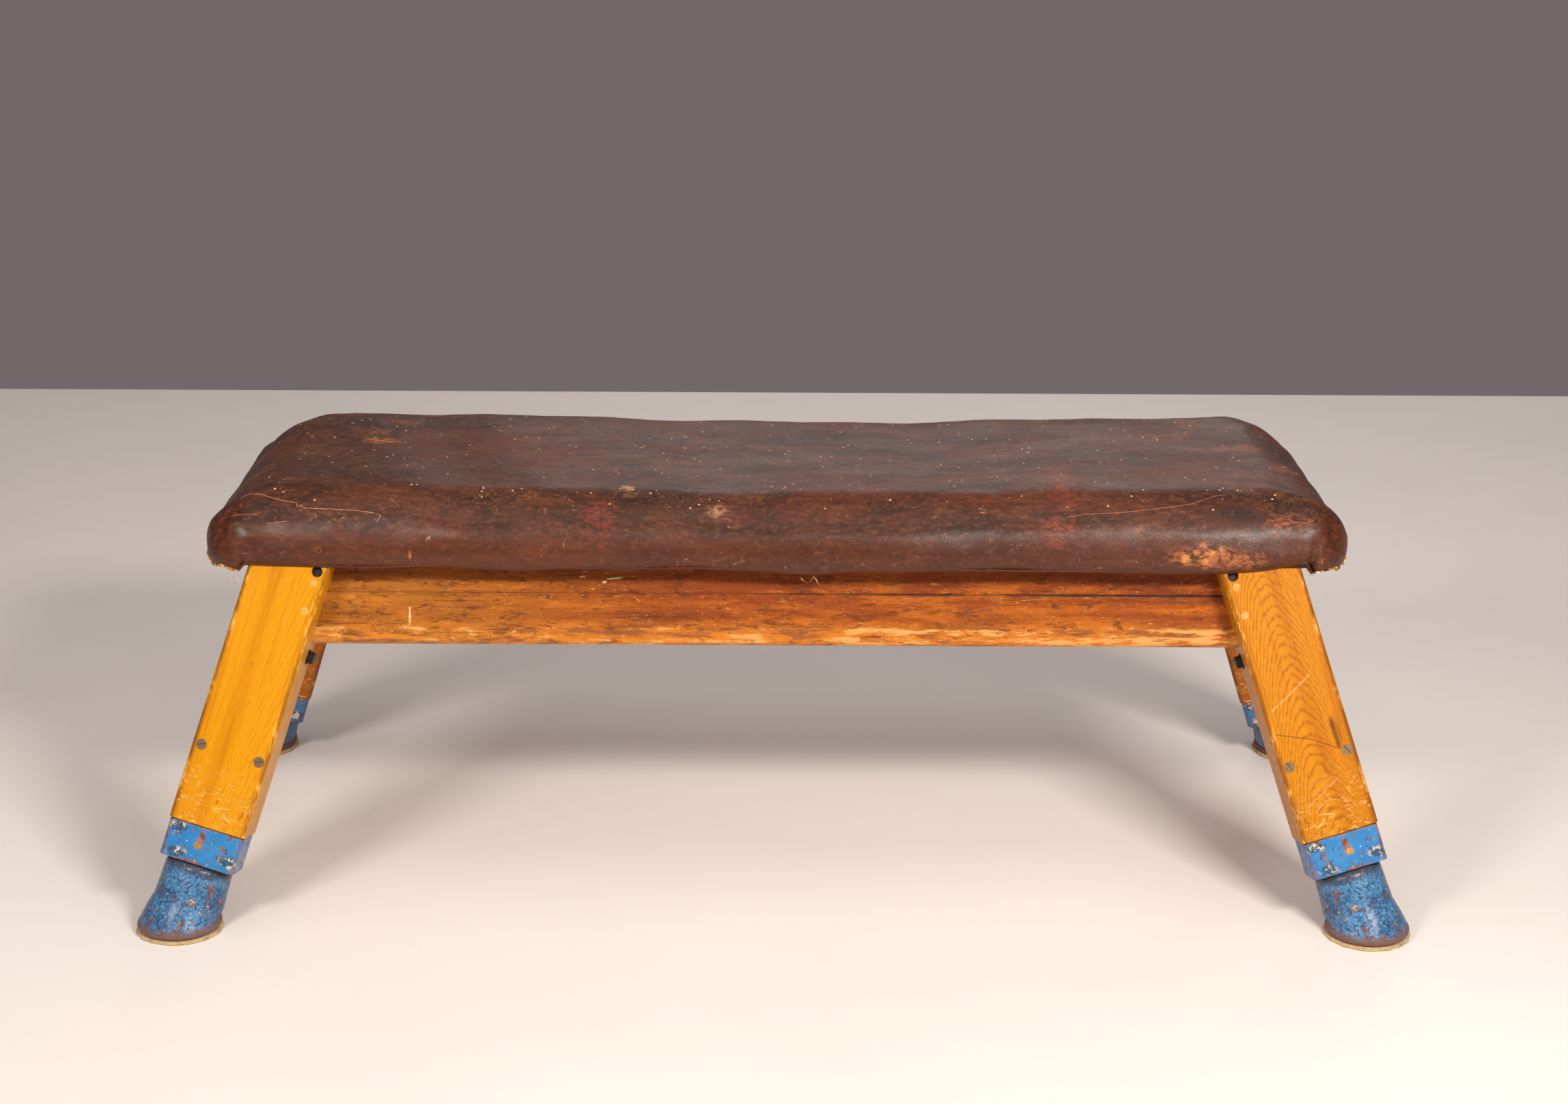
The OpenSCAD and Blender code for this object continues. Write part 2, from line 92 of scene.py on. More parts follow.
def rings_piece(name, rings, material, close_ends=True):
    """A skin over rings that all hold the same number of points."""
    count = len(rings[0])
    points = [p for ring in rings for p in ring]
    faces = []
    for level in range(len(rings) - 1):
        for i in range(count):
            j = (i + 1) % count
            a, b = level * count, (level + 1) * count
            faces.append((a + i, a + j, b + j, b + i))
    if close_ends:
        faces.append(tuple(range(count))[::-1])
        last = (len(rings) - 1) * count
        faces.append(tuple(last + i for i in range(count)))
    return mesh_piece(name, points, faces, material)


def circle(count):
    """Level directions all round, evenly spaced."""
    turns = (2 * math.pi * k / count for k in range(count))
    return [Vector((math.cos(a), math.sin(a), 0)) for a in turns]


def tube_piece(name, path, radius, material, sides=6):
    """A thin round strand along a path of points."""
    rings = []
    for i, point in enumerate(path):
        ahead = Vector(path[min(i + 1, len(path) - 1)])
        behind = Vector(path[max(i - 1, 0)])
        turn = (ahead - behind).to_track_quat("Z", "Y")
        size = radius[i] if hasattr(radius, "__len__") else radius
        rings.append([
            Vector(point) + turn @ Vector((size * math.cos(a), size * math.sin(a), 0))
            for a in (2 * math.pi * k / sides for k in range(sides))
        ])
    return rings_piece(name, rings, material)


def join(name, pieces):
    chosen = {"active_object": pieces[0], "selected_editable_objects": pieces}
    with bpy.context.temp_override(**chosen):
        bpy.ops.object.join()
    pieces[0].name = name
    return pieces[0]


def apply_modifiers(piece):
    graph = bpy.context.evaluated_depsgraph_get()
    mesh = bpy.data.meshes.new_from_object(piece.evaluated_get(graph))
    piece.modifiers.clear()
    piece.data = mesh


def read_points(piece):
    flat = np.empty(len(piece.data.vertices) * 3)
    piece.data.vertices.foreach_get("co", flat)
    return flat.reshape(-1, 3)


def write_points(piece, points):
    piece.data.vertices.foreach_set("co", np.asarray(points, float).ravel())
    piece.data.update()


# ---------------------------------------------------------------- the legs' own frames


class LegFrame:
    """Axes of one leg: across to its inner side, inwards across the horse, and up it."""

    def __init__(self, corner):
        low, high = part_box("felt_pad_" + corner)
        self.foot = Vector(((low.x + high.x) / 2, (low.y + high.y) / 2, 0))
        slide = next(j for j in frame["joints"] if j["name"] == "leg_slide_" + corner)
        self.up = -Vector(slide["axis"]).normalized()
        inwards = -math.copysign(1, self.foot.y)
        self.thick = inwards * Vector((0, self.up.z, -self.up.y)).normalized()
        across = self.thick.cross(self.up)
        self.wide = across if across.x * self.foot.x < 0 else -across

    def point(self, x, y, z):
        return self.foot + self.wide * x + self.thick * y + self.up * z


LEGS = {corner: LegFrame(corner) for corner in CORNERS}

# ---------------------------------------------------------------- node materials


class Look:
    """Builds one node material from short calls."""

    def __init__(self, name, **shader):
        self.material = bpy.data.materials.new(name)
        self.material.use_nodes = True
        self.tree = self.material.node_tree
        self.shader = self.tree.nodes["Principled BSDF"]
        self.colour = None
        for key, value in shader.items():
            self.put(self.shader.inputs[key.replace("_", " ")], value)

    def put(self, socket, value):
        if isinstance(value, bpy.types.NodeSocket):
            self.tree.links.new(value, socket)
        else:
            socket.default_value = value

    def add(self, kind, inputs, output=0, **settings):
        node = self.tree.nodes.new("ShaderNode" + kind)
        for key, value in settings.items():
            setattr(node, key, value)
        for key, value in inputs.items():
            self.put(node.inputs[key], value)
        return node.outputs[output]

    def coords(self):
        return self.add("TexCoord", {}, "Object")

    def math(self, operation, a, b=0.0, clamp=False):
        return self.add("Math", {0: a, 1: b}, operation=operation, use_clamp=clamp)

    def plus(self, a, b):
        return self.math("ADD", a, b)

    def minus(self, a, b):
        return self.math("SUBTRACT", a, b)

    def vector(self, operation, a, b=(0, 0, 0), output=0):
        return self.add("VectorMath", {0: a, 1: b}, output, operation=operation)

    def split(self, coords):
        node = self.tree.nodes.new("ShaderNodeSeparateXYZ")
        self.put(node.inputs[0], coords)
        return tuple(node.outputs)

    def leg_coords(self, leg):
        away = self.vector("SUBTRACT", self.coords(), leg.foot)
        parts = [
            self.vector("DOT_PRODUCT", away, axis, "Value")
            for axis in (leg.wide, leg.thick, leg.up)
        ]
        return self.add("CombineXYZ", dict(enumerate(parts)))

    def noise(self, coords, scale, detail=4.0, rough=0.55, distort=0.0):
        return self.add(
            "TexNoise",
            {"Vector": coords, "Scale": scale, "Detail": detail, "Roughness": rough,
             "Distortion": distort},
            "Fac",
        )

    def streaks(self, coords, scales, detail=4.0, rough=0.55, distort=0.0):
        """Noise at a scale of its own along each axis."""
        spread = self.vector("MULTIPLY", coords, scales)
        return self.noise(spread, 1.0, detail, rough, distort)

    def stored(self, name, output="Fac"):
        """A value kept in the mesh's own points."""
        return self.add("Attribute", {}, output, attribute_name=name)

    def cells(self, coords, scale, feature="F1"):
        inputs = {"Vector": coords, "Scale": scale}
        return self.add("TexVoronoi", inputs, "Distance", feature=feature)

    def step(self, value, low, high):
        """0 to 1 as value goes from low to high; low may be the larger."""
        return self.add(
            "MapRange",
            {"Value": value, "From Min": low, "From Max": high},
            interpolation_type="SMOOTHSTEP",
        )

    def step_off(self, value, low, high):
        """A step by how far the value is from zero, either way."""
        return self.step(self.math("ABSOLUTE", value), low, high)

    def mix(self, amount, a, b):
        return self.add("Mix", {0: amount, 6: a, 7: b}, 2, data_type="RGBA")

    def base(self, amount, a, b):
        """Starts the colour as a mix of two tones."""
        self.colour = self.mix(amount, a, b)

    def coat(self, tint, *amounts):
        """Lays a tint over the colour so far, as strongly as the amounts' product."""
        self.colour = self.mix(self.times(*amounts), self.colour, tint)

    def between(self, amount, a, b):
        """A number from a to b."""
        return self.add("MapRange", {"Value": amount, "To Min": a, "To Max": b})

    def times(self, *values):
        result = values[0]
        for value in values[1:]:
            result = self.math("MULTIPLY", result, value)
        return result

    def biggest(self, *values):
        result = values[0]
        for value in values[1:]:
            result = self.math("MAXIMUM", result, value)
        return result

    def near_path(self, coords, path, width):
        """1 on a line through the points of a path, fading at its width."""
        nearest = 1.0
        for a, b in zip(path, path[1:]):
            run = Vector(b) - Vector(a)
            away = self.vector("SUBTRACT", coords, a)
            along = self.vector("DOT_PRODUCT", away, run, "Value")
            share = self.math("DIVIDE", along, run.length_squared, clamp=True)
            step = self.add("VectorMath", {0: run, "Scale": share}, operation="SCALE")
            gap = self.vector("DISTANCE", away, step, "Value")
            nearest = self.math("MINIMUM", gap, nearest)
        return self.step(nearest, width, width * 0.4)

    def near_spot(self, coords, centre, size, ragged):
        """1 inside an oval spot and 0 outside; ragged is a noise that breaks its edge."""
        away = self.vector("SUBTRACT", coords, centre)
        length = self.vector("LENGTH", self.vector("DIVIDE", away, size), output="Value")
        length = self.plus(length, self.between(ragged, -0.55, 0.55))
        return self.step(length, 1.15, 0.6)

    def bump(self, height, distance, strength):
        inputs = {"Height": height, "Distance": distance, "Strength": strength}
        return self.add("Bump", inputs)

    def finish(self, roughness, normal=None, metallic=None):
        """Joins the colour and the rest to the shader."""
        values = {"Base Color": self.colour, "Roughness": roughness, "Normal": normal,
                  "Metallic": metallic}
        for key, value in values.items():
            if value is not None:
                self.put(self.shader.inputs[key], value)
        return self.material


def wood_grain(look, coords, pores=1.0):
    """Streaks along the third coordinate: (broad bands, fine lines, short pores)."""
    bands = look.streaks(coords, (26, 26, 1.3), 3, 0.5, 0.35)
    lines = look.streaks(coords, (210, 210, 5), 4, 0.6)
    specks = look.streaks(coords, (900, 900, 45), 2, 0.6)
    return bands, lines, look.times(look.step(specks, 0.63, 0.74), pores)


def cathedral_rings(look, coords, middle, spacing):
    """Nested arches up the leg, as a flat-sawn face shows them, 0 to 1."""
    across, _, along = look.split(coords)
    off = look.minus(across, middle)
    wobble = look.streaks(coords, (22, 22, 7), 4, 0.6, 0.6)
    reach = look.plus(along, look.math("MULTIPLY", look.times(off, off), 55.0))
    reach = look.plus(reach, look.between(wobble, -0.035, 0.035))
    wave = look.math("SINE", look.math("MULTIPLY", reach, 2 * math.pi / spacing))
    broken = look.streaks(coords, (520, 520, 60), 3, 0.7)
    return look.times(look.step(wave, 0.15, 0.95), look.step(broken, 0.36, 0.56))


def leg_wood(corner, inner=False):
    """Golden varnished ash with its grain along the leg and worn lower end."""
    look = Look(f"leg_ash_{'inner' if inner else 'outer'}_{corner}",
                Coat_Weight=0.04, Coat_Roughness=0.2, Specular_IOR_Level=0.18)
    at = look.leg_coords(LEGS[corner])
    across, deep, along = look.split(at)
    bands, lines, pores = wood_grain(look, at, 0.55)
    pale, mid, dark = srgb(212, 144, 12), srgb(198, 126, 3), srgb(142, 74, 2)
    if corner.endswith("right"):
        pale, mid, dark = srgb(198, 126, 10), srgb(180, 106, 3), srgb(128, 62, 2)
    # darker, browner tones for the back legs' halves that face the front: painted shade under the
    # horse
    if inner:
        pale, mid, dark = srgb(190, 112, 28), srgb(160, 84, 14), srgb(92, 42, 10)
    look.base(look.step(bands, 0.3, 0.72), mid, pale)
    look.coat(dark, look.step(lines, 0.52, 0.8), 0.55)
    if corner.endswith("right"):
        look.coat(srgb(138, 66, 8), cathedral_rings(look, at, 0.002, 0.014), 0.62)
    else:
        look.coat(dark, cathedral_rings(look, at, 0.075, 0.034), 0.22)
    look.coat(srgb(150, 74, 14), pores, 0.7)

    # the lower end: pale scuffs where the varnish has gone
    low = look.step(along, 0.235, 0.145)
    scuffs = look.streaks(at, (75, 75, 170), 7, 0.76, 1.4)
    scuffed = look.times(low, look.step(scuffs, 0.53, 0.6))
    few = look.step(look.streaks(at, (90, 90, 40), 6, 0.78, 2.0), 0.64, 0.68)
    worn = look.biggest(look.times(scuffed, 0.8), look.times(few, 0.5))
    look.coat(srgb(238, 190, 104), worn)

    # the long edges: darker with grime, broken by pale chips
    side = look.step_off(across, 0.041, 0.049)
    face = look.step_off(deep, 0.0365, 0.0415)
    edge_noise = look.streaks(at, (110, 110, 26), 7, 0.78)
    edge = look.times(side, face)
    look.coat(srgb(112, 60, 20), edge, look.step(edge_noise, 0.43, 0.5), 0.8)
    look.coat(srgb(240, 192, 112), edge, look.step(edge_noise, 0.44, 0.39), 0.8)
    look.coat(srgb(116, 66, 24), side, look.step(edge_noise, 0.5, 0.66), 0.35)
    grime = look.streaks(at, (120, 120, 50), 5, 0.75)
    dots = look.step(grime, 0.6, 0.66)
    look.coat(srgb(96, 52, 18), dots, look.between(low, 0.35, 1.0), 0.75)

    if corner == "front_right" and not inner:
        flat = look.add("CombineXYZ", {0: across, 1: 0.0, 2: along})
        pale_marks = look.biggest(
            look.near_path(flat, ((0.038, 0, 0.311), (-0.019, 0, 0.341)), 0.0014),
            look.near_path(flat, ((0.030, 0, 0.181), (-0.019, 0, 0.208)), 0.0010),
            look.near_path(flat, ((0.024, 0, 0.172), (0.000, 0, 0.186)), 0.0008),
        )
        broken = look.step(look.noise(at, 240, 3, 0.7), 0.4, 0.52)
        look.coat(srgb(232, 186, 116), pale_marks, broken, 0.5)
        gash = look.near_path(flat, ((0.042, 0, 0.281), (0.0, 0, 0.262), (-0.03, 0, 0.241)),
                              0.0009)
        smudge = look.near_spot(flat, (-0.030, 0, 0.262), (0.007, 0.01, 0.022), edge_noise)
        smudge = look.times(smudge, look.step(lines, 0.42, 0.56))
        look.coat(srgb(88, 44, 12), look.biggest(gash, smudge), 0.75)

    heights = look.minus(look.times(lines, 0.6), look.times(worn, 0.8))
    return look.finish(look.between(worn, 0.3, 0.62), look.bump(heights, 0.0006, 0.55))


def rail_seam():
    """Height at which the front rail meets the batten above it."""
    graph = bpy.context.evaluated_depsgraph_get()
    rail = BVHTree.FromObject(frame["nodes"]["front_rail"], graph)
    low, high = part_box("front_rail")
    steps = [high.z - 0.0005 * k for k in range(1, 120)]
    for height in steps:
        spot = rail.ray_cast(Vector((0, low.y - 1, height)), Vector((0, 1, 0)))[0]
        if spot is not None and spot.y < (low.y + high.y) / 2:
            return height
    return high.z


def rail_wood():
    """Orange-red varnished rails: fine level grain, dents, a pale worn lower edge."""
    seam = rail_seam()
    look = Look("rail_wood", Coat_Weight=0.22, Coat_Roughness=0.13, Specular_IOR_Level=0.18)
    at = look.coords()
    x, y, z = look.split(at)
    turned = look.add("CombineXYZ", {0: y, 1: z, 2: x})
    bands, lines, pores = wood_grain(look, turned, 0.8)
    golden = look.step(look.plus(x, look.between(bands, -0.2, 0.2)), -0.1, -0.62)
    pale = look.mix(golden, srgb(184, 92, 8), srgb(184, 118, 30))
    deep = look.mix(golden, srgb(134, 56, 4), srgb(152, 86, 16))
    look.base(look.step(bands, 0.28, 0.7), deep, pale)
    look.coat(srgb(112, 44, 6), look.step(lines, 0.48, 0.78), 0.6)
    look.coat(srgb(88, 38, 8), pores, 0.7)
    glow = look.step(look.streaks(at, (9, 44, 48), 6, 0.72), 0.48, 0.6)
    look.coat(srgb(204, 112, 14), glow, 0.45)
    # lighter towards the lower edge and darker in the top band under the cushion: painted light
    # and painted shadow of the cushion; the low mask also places the pale flakes further down
    low = look.step(z, 0.385, 0.352)
    look.coat(srgb(226, 138, 34), low, 0.5)
    high = look.step(z, 0.41, 0.44)
    look.coat(srgb(120, 44, 6), high, 0.5)

    blots = look.streaks(at, (7, 30, 34), 5, 0.65)
    look.coat(srgb(84, 36, 8), look.step(blots, 0.54, 0.7), 0.55)
    grime = look.streaks(at, (34, 110, 120), 6, 0.78, 0.8)
    look.coat(srgb(78, 36, 10), look.step(grime, 0.52, 0.62), 0.7)
    nicks = look.streaks(at, (60, 190, 210), 5, 0.75, 1.5)
    dented = look.step(nicks, 0.6, 0.66)
    look.coat(srgb(52, 28, 14), dented, 0.8)
    chips = look.streaks(at, (110, 260, 320), 4, 0.72, 1.0)
    flakes = look.step(chips, 0.61, 0.66)
    look.coat(srgb(236, 180, 104), flakes, look.between(low, 0.4, 0.9))
    # the dark joint of rail and batten, and long level cracks
    cracks = look.step(look.streaks(at, (6, 60, 420), 3, 0.6), 0.65, 0.69)
    joint = look.step_off(look.minus(z, seam), 0.0016, 0.0006)
    joint = look.times(joint, look.step(x, -0.25, 0.25), look.step(blots, 0.42, 0.54))
    cracks = look.biggest(cracks, joint)
    look.coat(srgb(46, 22, 10), cracks, 0.85)

    # bare wood along the lower edge, widest at the right end
    edge_noise = look.streaks(at, (16, 60, 90), 5, 0.7)
    reach = look.step(look.plus(z, look.between(grime, -0.006, 0.006)), 0.3695, 0.3655)
    right = look.step(x, 0.15, 0.6)
    bare = look.step(look.plus(edge_noise, look.times(right, 0.07)), 0.52, 0.6)
    look.coat(srgb(222, 164, 92), reach, bare, 0.8)
    look.coat(srgb(120, 70, 40), reach, look.step(edge_noise, 0.46, 0.38), 0.7)
    heights = look.plus(look.times(lines, 0.35), look.times(nicks, 0.9))
    roughness = look.between(look.biggest(flakes, dented), 0.24, 0.5)
    return look.finish(roughness, look.bump(heights, 0.0022, 0.75))


def bare_wood(look, at, tones, roughness, depth):
    """Unvarnished wood, with a tone for each band, the fine lines and the pores."""
    bands, lines, pores = wood_grain(look, at, 0.5)
    look.base(look.step(bands, 0.3, 0.7), tones[0], tones[1])
    look.coat(tones[2], look.step(lines, 0.5, 0.8), 0.5)
    look.coat(tones[3], pores)
    return look.finish(look.between(lines, *roughness), look.bump(lines, depth, 0.5))


def plain_wood(name, pale, dark, axis):
    """Boards and battens with their grain along one axis."""
    look = Look(name, Specular_IOR_Level=0.3)
    x, y, z = look.split(look.coords())
    order = {"x": (y, z, x), "y": (x, z, y)}[axis]
    at = look.add("CombineXYZ", dict(enumerate(order)))
    return bare_wood(look, at, (pale, dark, dark, dark), (0.5, 0.75), 0.0006)


def post_wood(corner):
    look = Look("post_ash_" + corner, Specular_IOR_Level=0.4)
    tones = srgb(214, 164, 96), srgb(188, 132, 66), srgb(150, 96, 44), srgb(128, 84, 40)
    return bare_wood(look, look.leg_coords(LEGS[corner]), tones, (0.4, 0.6), 0.0005)


def dowel_wood():
    look = Look("dowel_beech", Specular_IOR_Level=0.4)
    at = look.coords()
    flecks = look.noise(at, 420, 4, 0.7)
    blotch = look.noise(at, 24, 2)
    look.base(look.step(flecks, 0.35, 0.7), srgb(232, 172, 84), srgb(190, 120, 44))
    look.coat(srgb(150, 82, 30), look.step(blotch, 0.5, 0.62), 0.5)
    return look.finish(look.between(flecks, 0.4, 0.6), look.bump(flecks, 0.0004, 0.5))


SCRATCHES = (
    # (strength, half width, points)
    (1.0, 0.00085, (
        (-0.677, -0.1762, 0.5343), (-0.6661, -0.1738, 0.5359), (-0.6485, -0.1755, 0.5365),
        (-0.6343, -0.1832, 0.5367), (-0.616, -0.1903, 0.5363), (-0.6043, -0.1933, 0.536),
        (-0.6025, -0.2004, 0.5337), (-0.5978, -0.1971, 0.535), (-0.5954, -0.2019, 0.5329),
        (-0.5712, -0.2033, 0.5325), (-0.5451, -0.2056, 0.5316), (-0.5277, -0.2073, 0.5313),
        (-0.5103, -0.2099, 0.5295), (-0.5024, -0.2121, 0.5276),
    )),
    (0.8, 0.0007, (
        (-0.5024, -0.2121, 0.5276), (-0.4962, -0.2138, 0.5259), (-0.4986, -0.217, 0.521),
        (-0.5019, -0.2196, 0.5156),
    )),
    (0.5, 0.0006, ((-0.6879, -0.2029, 0.5192), (-0.6722, -0.2074, 0.5239),
                   (-0.6581, -0.2092, 0.5259), (-0.6495, -0.2088, 0.5267))),
    (0.35, 0.0009, ((-0.6399, -0.2187, 0.5164), (-0.6295, -0.2191, 0.5165),
                    (-0.6141, -0.2183, 0.5182), (-0.6081, -0.2186, 0.5174))),
    (0.5, 0.0006, ((-0.4865, -0.1852, 0.539), (-0.4773, -0.1975, 0.5366),
                   (-0.4722, -0.2044, 0.5334))),
    (0.7, 0.0006, (
        (0.3647, -0.2073, 0.5268), (0.3905, -0.2047, 0.5301), (0.412, -0.2038, 0.5313),
        (0.4336, -0.2028, 0.532), (0.4772, -0.1963, 0.5347), (0.5033, -0.1926, 0.5359),
        (0.5254, -0.188, 0.5369), (0.5439, -0.1782, 0.5375), (0.5579, -0.1703, 0.5369),
        (0.5731, -0.167, 0.5364),
    )),
    (0.7, 0.0006, ((0.628, -0.2152, 0.5222), (0.6427, -0.2146, 0.5224))),
)
SCUFFS = (
    # (centre, half sizes, colour, strength)
    ((-0.5844, 0.0449, 0.5394), (0.030, 0.030, 0.03), (140, 78, 30), 0.75),
    ((-0.5645, 0.0668, 0.5407), (0.030, 0.026, 0.03), (150, 84, 32), 0.8),
    ((-0.5231, 0.0292, 0.5396), (0.026, 0.013, 0.03), (168, 96, 38), 0.85),
    ((-0.5342, 0.0658, 0.5402), (0.022, 0.014, 0.03), (146, 84, 36), 0.65),
    ((-0.5047, 0.1178, 0.5387), (0.026, 0.014, 0.03), (128, 56, 26), 0.75),
    ((-0.62, 0.012, 0.5365), (0.048, 0.026, 0.03), (118, 52, 20), 0.8),
    ((-0.6775, -0.0694, 0.5354), (0.024, 0.034, 0.03), (112, 76, 26), 0.6),
    ((-0.62, 0.075, 0.539), (0.050, 0.060, 0.03), (96, 52, 24), 0.5),
    ((-0.70, -0.10, 0.515), (0.016, 0.040, 0.03), (106, 78, 22), 0.6),
    ((0.601, 0.0177, 0.5373), (0.052, 0.011, 0.03), (132, 74, 42), 0.7),
    ((0.6278, 0.0157, 0.5389), (0.022, 0.022, 0.03), (130, 70, 34), 0.7),
    ((0.6616, -0.0581, 0.5406), (0.026, 0.018, 0.03), (122, 62, 30), 0.75),
    ((0.5597, 0.1601, 0.5387), (0.050, 0.018, 0.03), (122, 66, 34), 0.7),
    ((0.6675, 0.1305, 0.535), (0.030, 0.050, 0.03), (104, 50, 30), 0.7),
    ((0.52, 0.075, 0.538), (0.050, 0.020, 0.03), (118, 68, 32), 0.6),
    ((0.5742, -0.2129, 0.526), (0.030, 0.012, 0.014), (140, 58, 36), 0.6),
    ((0.64, -0.212, 0.52), (0.045, 0.016, 0.014), (146, 74, 44), 0.6),
    ((0.5146, -0.2275, 0.4773), (0.022, 0.02, 0.012), (150, 84, 44), 0.75),
    ((0.5578, -0.2271, 0.4745), (0.030, 0.02, 0.014), (196, 128, 68), 0.85),
    ((0.5353, -0.2281, 0.4911), (0.012, 0.02, 0.006), (170, 104, 60), 0.6),
    ((0.59, -0.2275, 0.471), (0.030, 0.02, 0.012), (160, 92, 52), 0.7),
    ((-0.459, -0.228, 0.475), (0.0022, 0.02, 0.009), (190, 112, 46), 0.7),
    ((-0.1899, -0.1519, 0.5328), (0.009, 0.009, 0.02), (206, 158, 110), 0.8),
    ((-0.185, -0.17, 0.532), (0.012, 0.006, 0.02), (130, 84, 56), 0.6),
    ((-0.0717, -0.1923, 0.5289), (0.016, 0.010, 0.02), (160, 112, 80), 0.7),
    ((0.366, -0.12, 0.535), (0.020, 0.09, 0.03), (116, 50, 30), 0.75),
    ((0.358, -0.215, 0.512), (0.024, 0.02, 0.03), (128, 56, 36), 0.6),
    ((-0.221, -0.20, 0.51), (0.024, 0.04, 0.034), (112, 44, 28), 0.7),
    ((0.5817, -0.1989, 0.5342), (0.026, 0.014, 0.03), (40, 26, 24), 0.8),
    ((0.6358, -0.1936, 0.5351), (0.0028, 0.0034, 0.006), (244, 240, 230), 1.3),
)


def leather():
    """Old brown leather: mottled, scuffed to orange, scratched and cracked on the roll."""
    look = Look("horse_leather", Specular_IOR_Level=0.3, Coat_Weight=0.12, Coat_Roughness=0.3)
    at = look.coords()
    x, y, z = look.split(at)
    top = look.step(z, 0.516, 0.532)
    front = look.step(y, -0.205, -0.224)

    mottle = look.streaks(at, (6, 15, 15), 8, 0.68, 0.7)
    look.base(look.step(mottle, 0.34, 0.66), srgb(46, 21, 10), srgb(84, 42, 22))
    reddish = look.step(look.streaks(at, (4, 8, 8), 6, 0.66, 0.5), 0.48, 0.66)
    look.coat(srgb(98, 40, 18), reddish, 0.7)
    streaks = look.streaks(at, (12, 60, 60), 7, 0.72, 0.5)
    look.coat(srgb(44, 28, 21), look.step(streaks, 0.52, 0.68), 0.55)
    ochre = look.step(look.streaks(at, (9, 26, 26), 8, 0.74, 0.9), 0.56, 0.7)
    look.coat(srgb(114, 62, 26), ochre, look.between(top, 0.35, 0.65))
    fine = look.streaks(at, (90, 170, 170), 7, 0.78)
    look.coat(srgb(118, 68, 38), look.step(fine, 0.5, 0.64), 0.6)
    look.coat(srgb(28, 15, 10), look.step(fine, 0.48, 0.36), 0.65)
    side_tone = look.step(z, 0.512, 0.49)
    look.coat(srgb(84, 38, 16), side_tone, front, 0.45)

    # rubbed patches, some ochre and some orange
    ragged = look.between(look.step(fine, 0.34, 0.66), 0.0, 2.0)
    scuffed = look.step(look.times(look.stored("scuff"), ragged), 0.1, 1.1)
    look.coat(look.stored("scuff_tint", "Color"), scuffed)

    # pale specks, thick in some areas of the top, and hair-thin marks
    crowd = look.step(look.streaks(at, (5, 11, 11), 4), 0.42, 0.6)
    specks = look.streaks(at, (300, 520, 520), 4, 0.8)
    limit = look.between(crowd, 0.7, 0.6)
    speckled = look.times(look.step(look.minus(specks, limit), 0.0, 0.03), top)
    look.coat(srgb(186, 140, 92), speckled, 0.75)
    dots = look.step(look.cells(at, 70), 0.13, 0.07)
    chosen = look.step(look.noise(at, 31, 0), 0.47, 0.5)
    look.coat(srgb(230, 196, 148), dots, chosen, top, 0.9)
    hairs = look.streaks(at, (22, 30, 30), 2, 0.5, 1.5)
    hairs = look.step_off(look.minus(hairs, 0.5), 0.0035, 0.001)
    hairs = look.times(hairs, look.step(look.noise(at, 46, 2), 0.54, 0.62), 0.8)
    look.coat(srgb(196, 132, 98), hairs)

    # the lowest few millimetres, lighter: painted reflection of the floor
    rim = look.times(look.step(z, 0.4525, 0.449), 0.35)
    look.coat(srgb(120, 62, 34), rim)

    grain = look.cells(at, 620, "SMOOTH_F1")
    cracks = look.cells(at, 210, "DISTANCE_TO_EDGE")
    cracked = look.times(
        look.step(cracks, 0.06, 0.0), look.step(x, 0.2, 0.45), look.between(front, 0.2, 1.0)
    )
    creases = look.streaks(at, (60, 60, 60), 6, 0.6)
    heights = look.plus(look.times(grain, 0.35), look.times(creases, 0.6))
    heights = look.minus(heights, look.times(cracked, 0.35))
    normal = look.bump(heights, 0.0008, 0.6)
    shine = look.streaks(at, (9, 24, 24), 4, 0.6)
    roughness = look.between(look.step(shine, 0.3, 0.7), 0.34, 0.46)
    roughness = look.plus(roughness, look.times(top, 0.14))
    return look.finish(roughness, normal)


def torn_fibre():
    """The pale pinkish flesh of the leather along a scratch."""
    look = Look("torn_fibre", Specular_IOR_Level=0.3)
    fibres = look.noise(look.coords(), 900, 4, 0.7)
    look.base(look.step(fibres, 0.36, 0.62), srgb(150, 84, 60), srgb(228, 150, 116))
    return look.finish(look.between(fibres, 0.6, 0.8), look.bump(fibres, 0.0003, 0.6))


def raw_edge():
    """Cut leather edge: orange fibres with cream stitching."""
    look = Look("raw_leather_edge", Specular_IOR_Level=0.3)
    at = look.coords()
    fibres = look.noise(at, 420, 5, 0.75)
    blobs = look.noise(at, 150, 3, 0.6)
    look.base(look.step(fibres, 0.4, 0.62), srgb(120, 58, 18), srgb(228, 156, 66))
    look.coat(srgb(246, 214, 160), look.step(blobs, 0.52, 0.62))
    look.coat(srgb(52, 28, 18), look.step(blobs, 0.45, 0.36))
    return look.finish(look.between(fibres, 0.6, 0.85), look.bump(fibres, 0.001, 0.8))


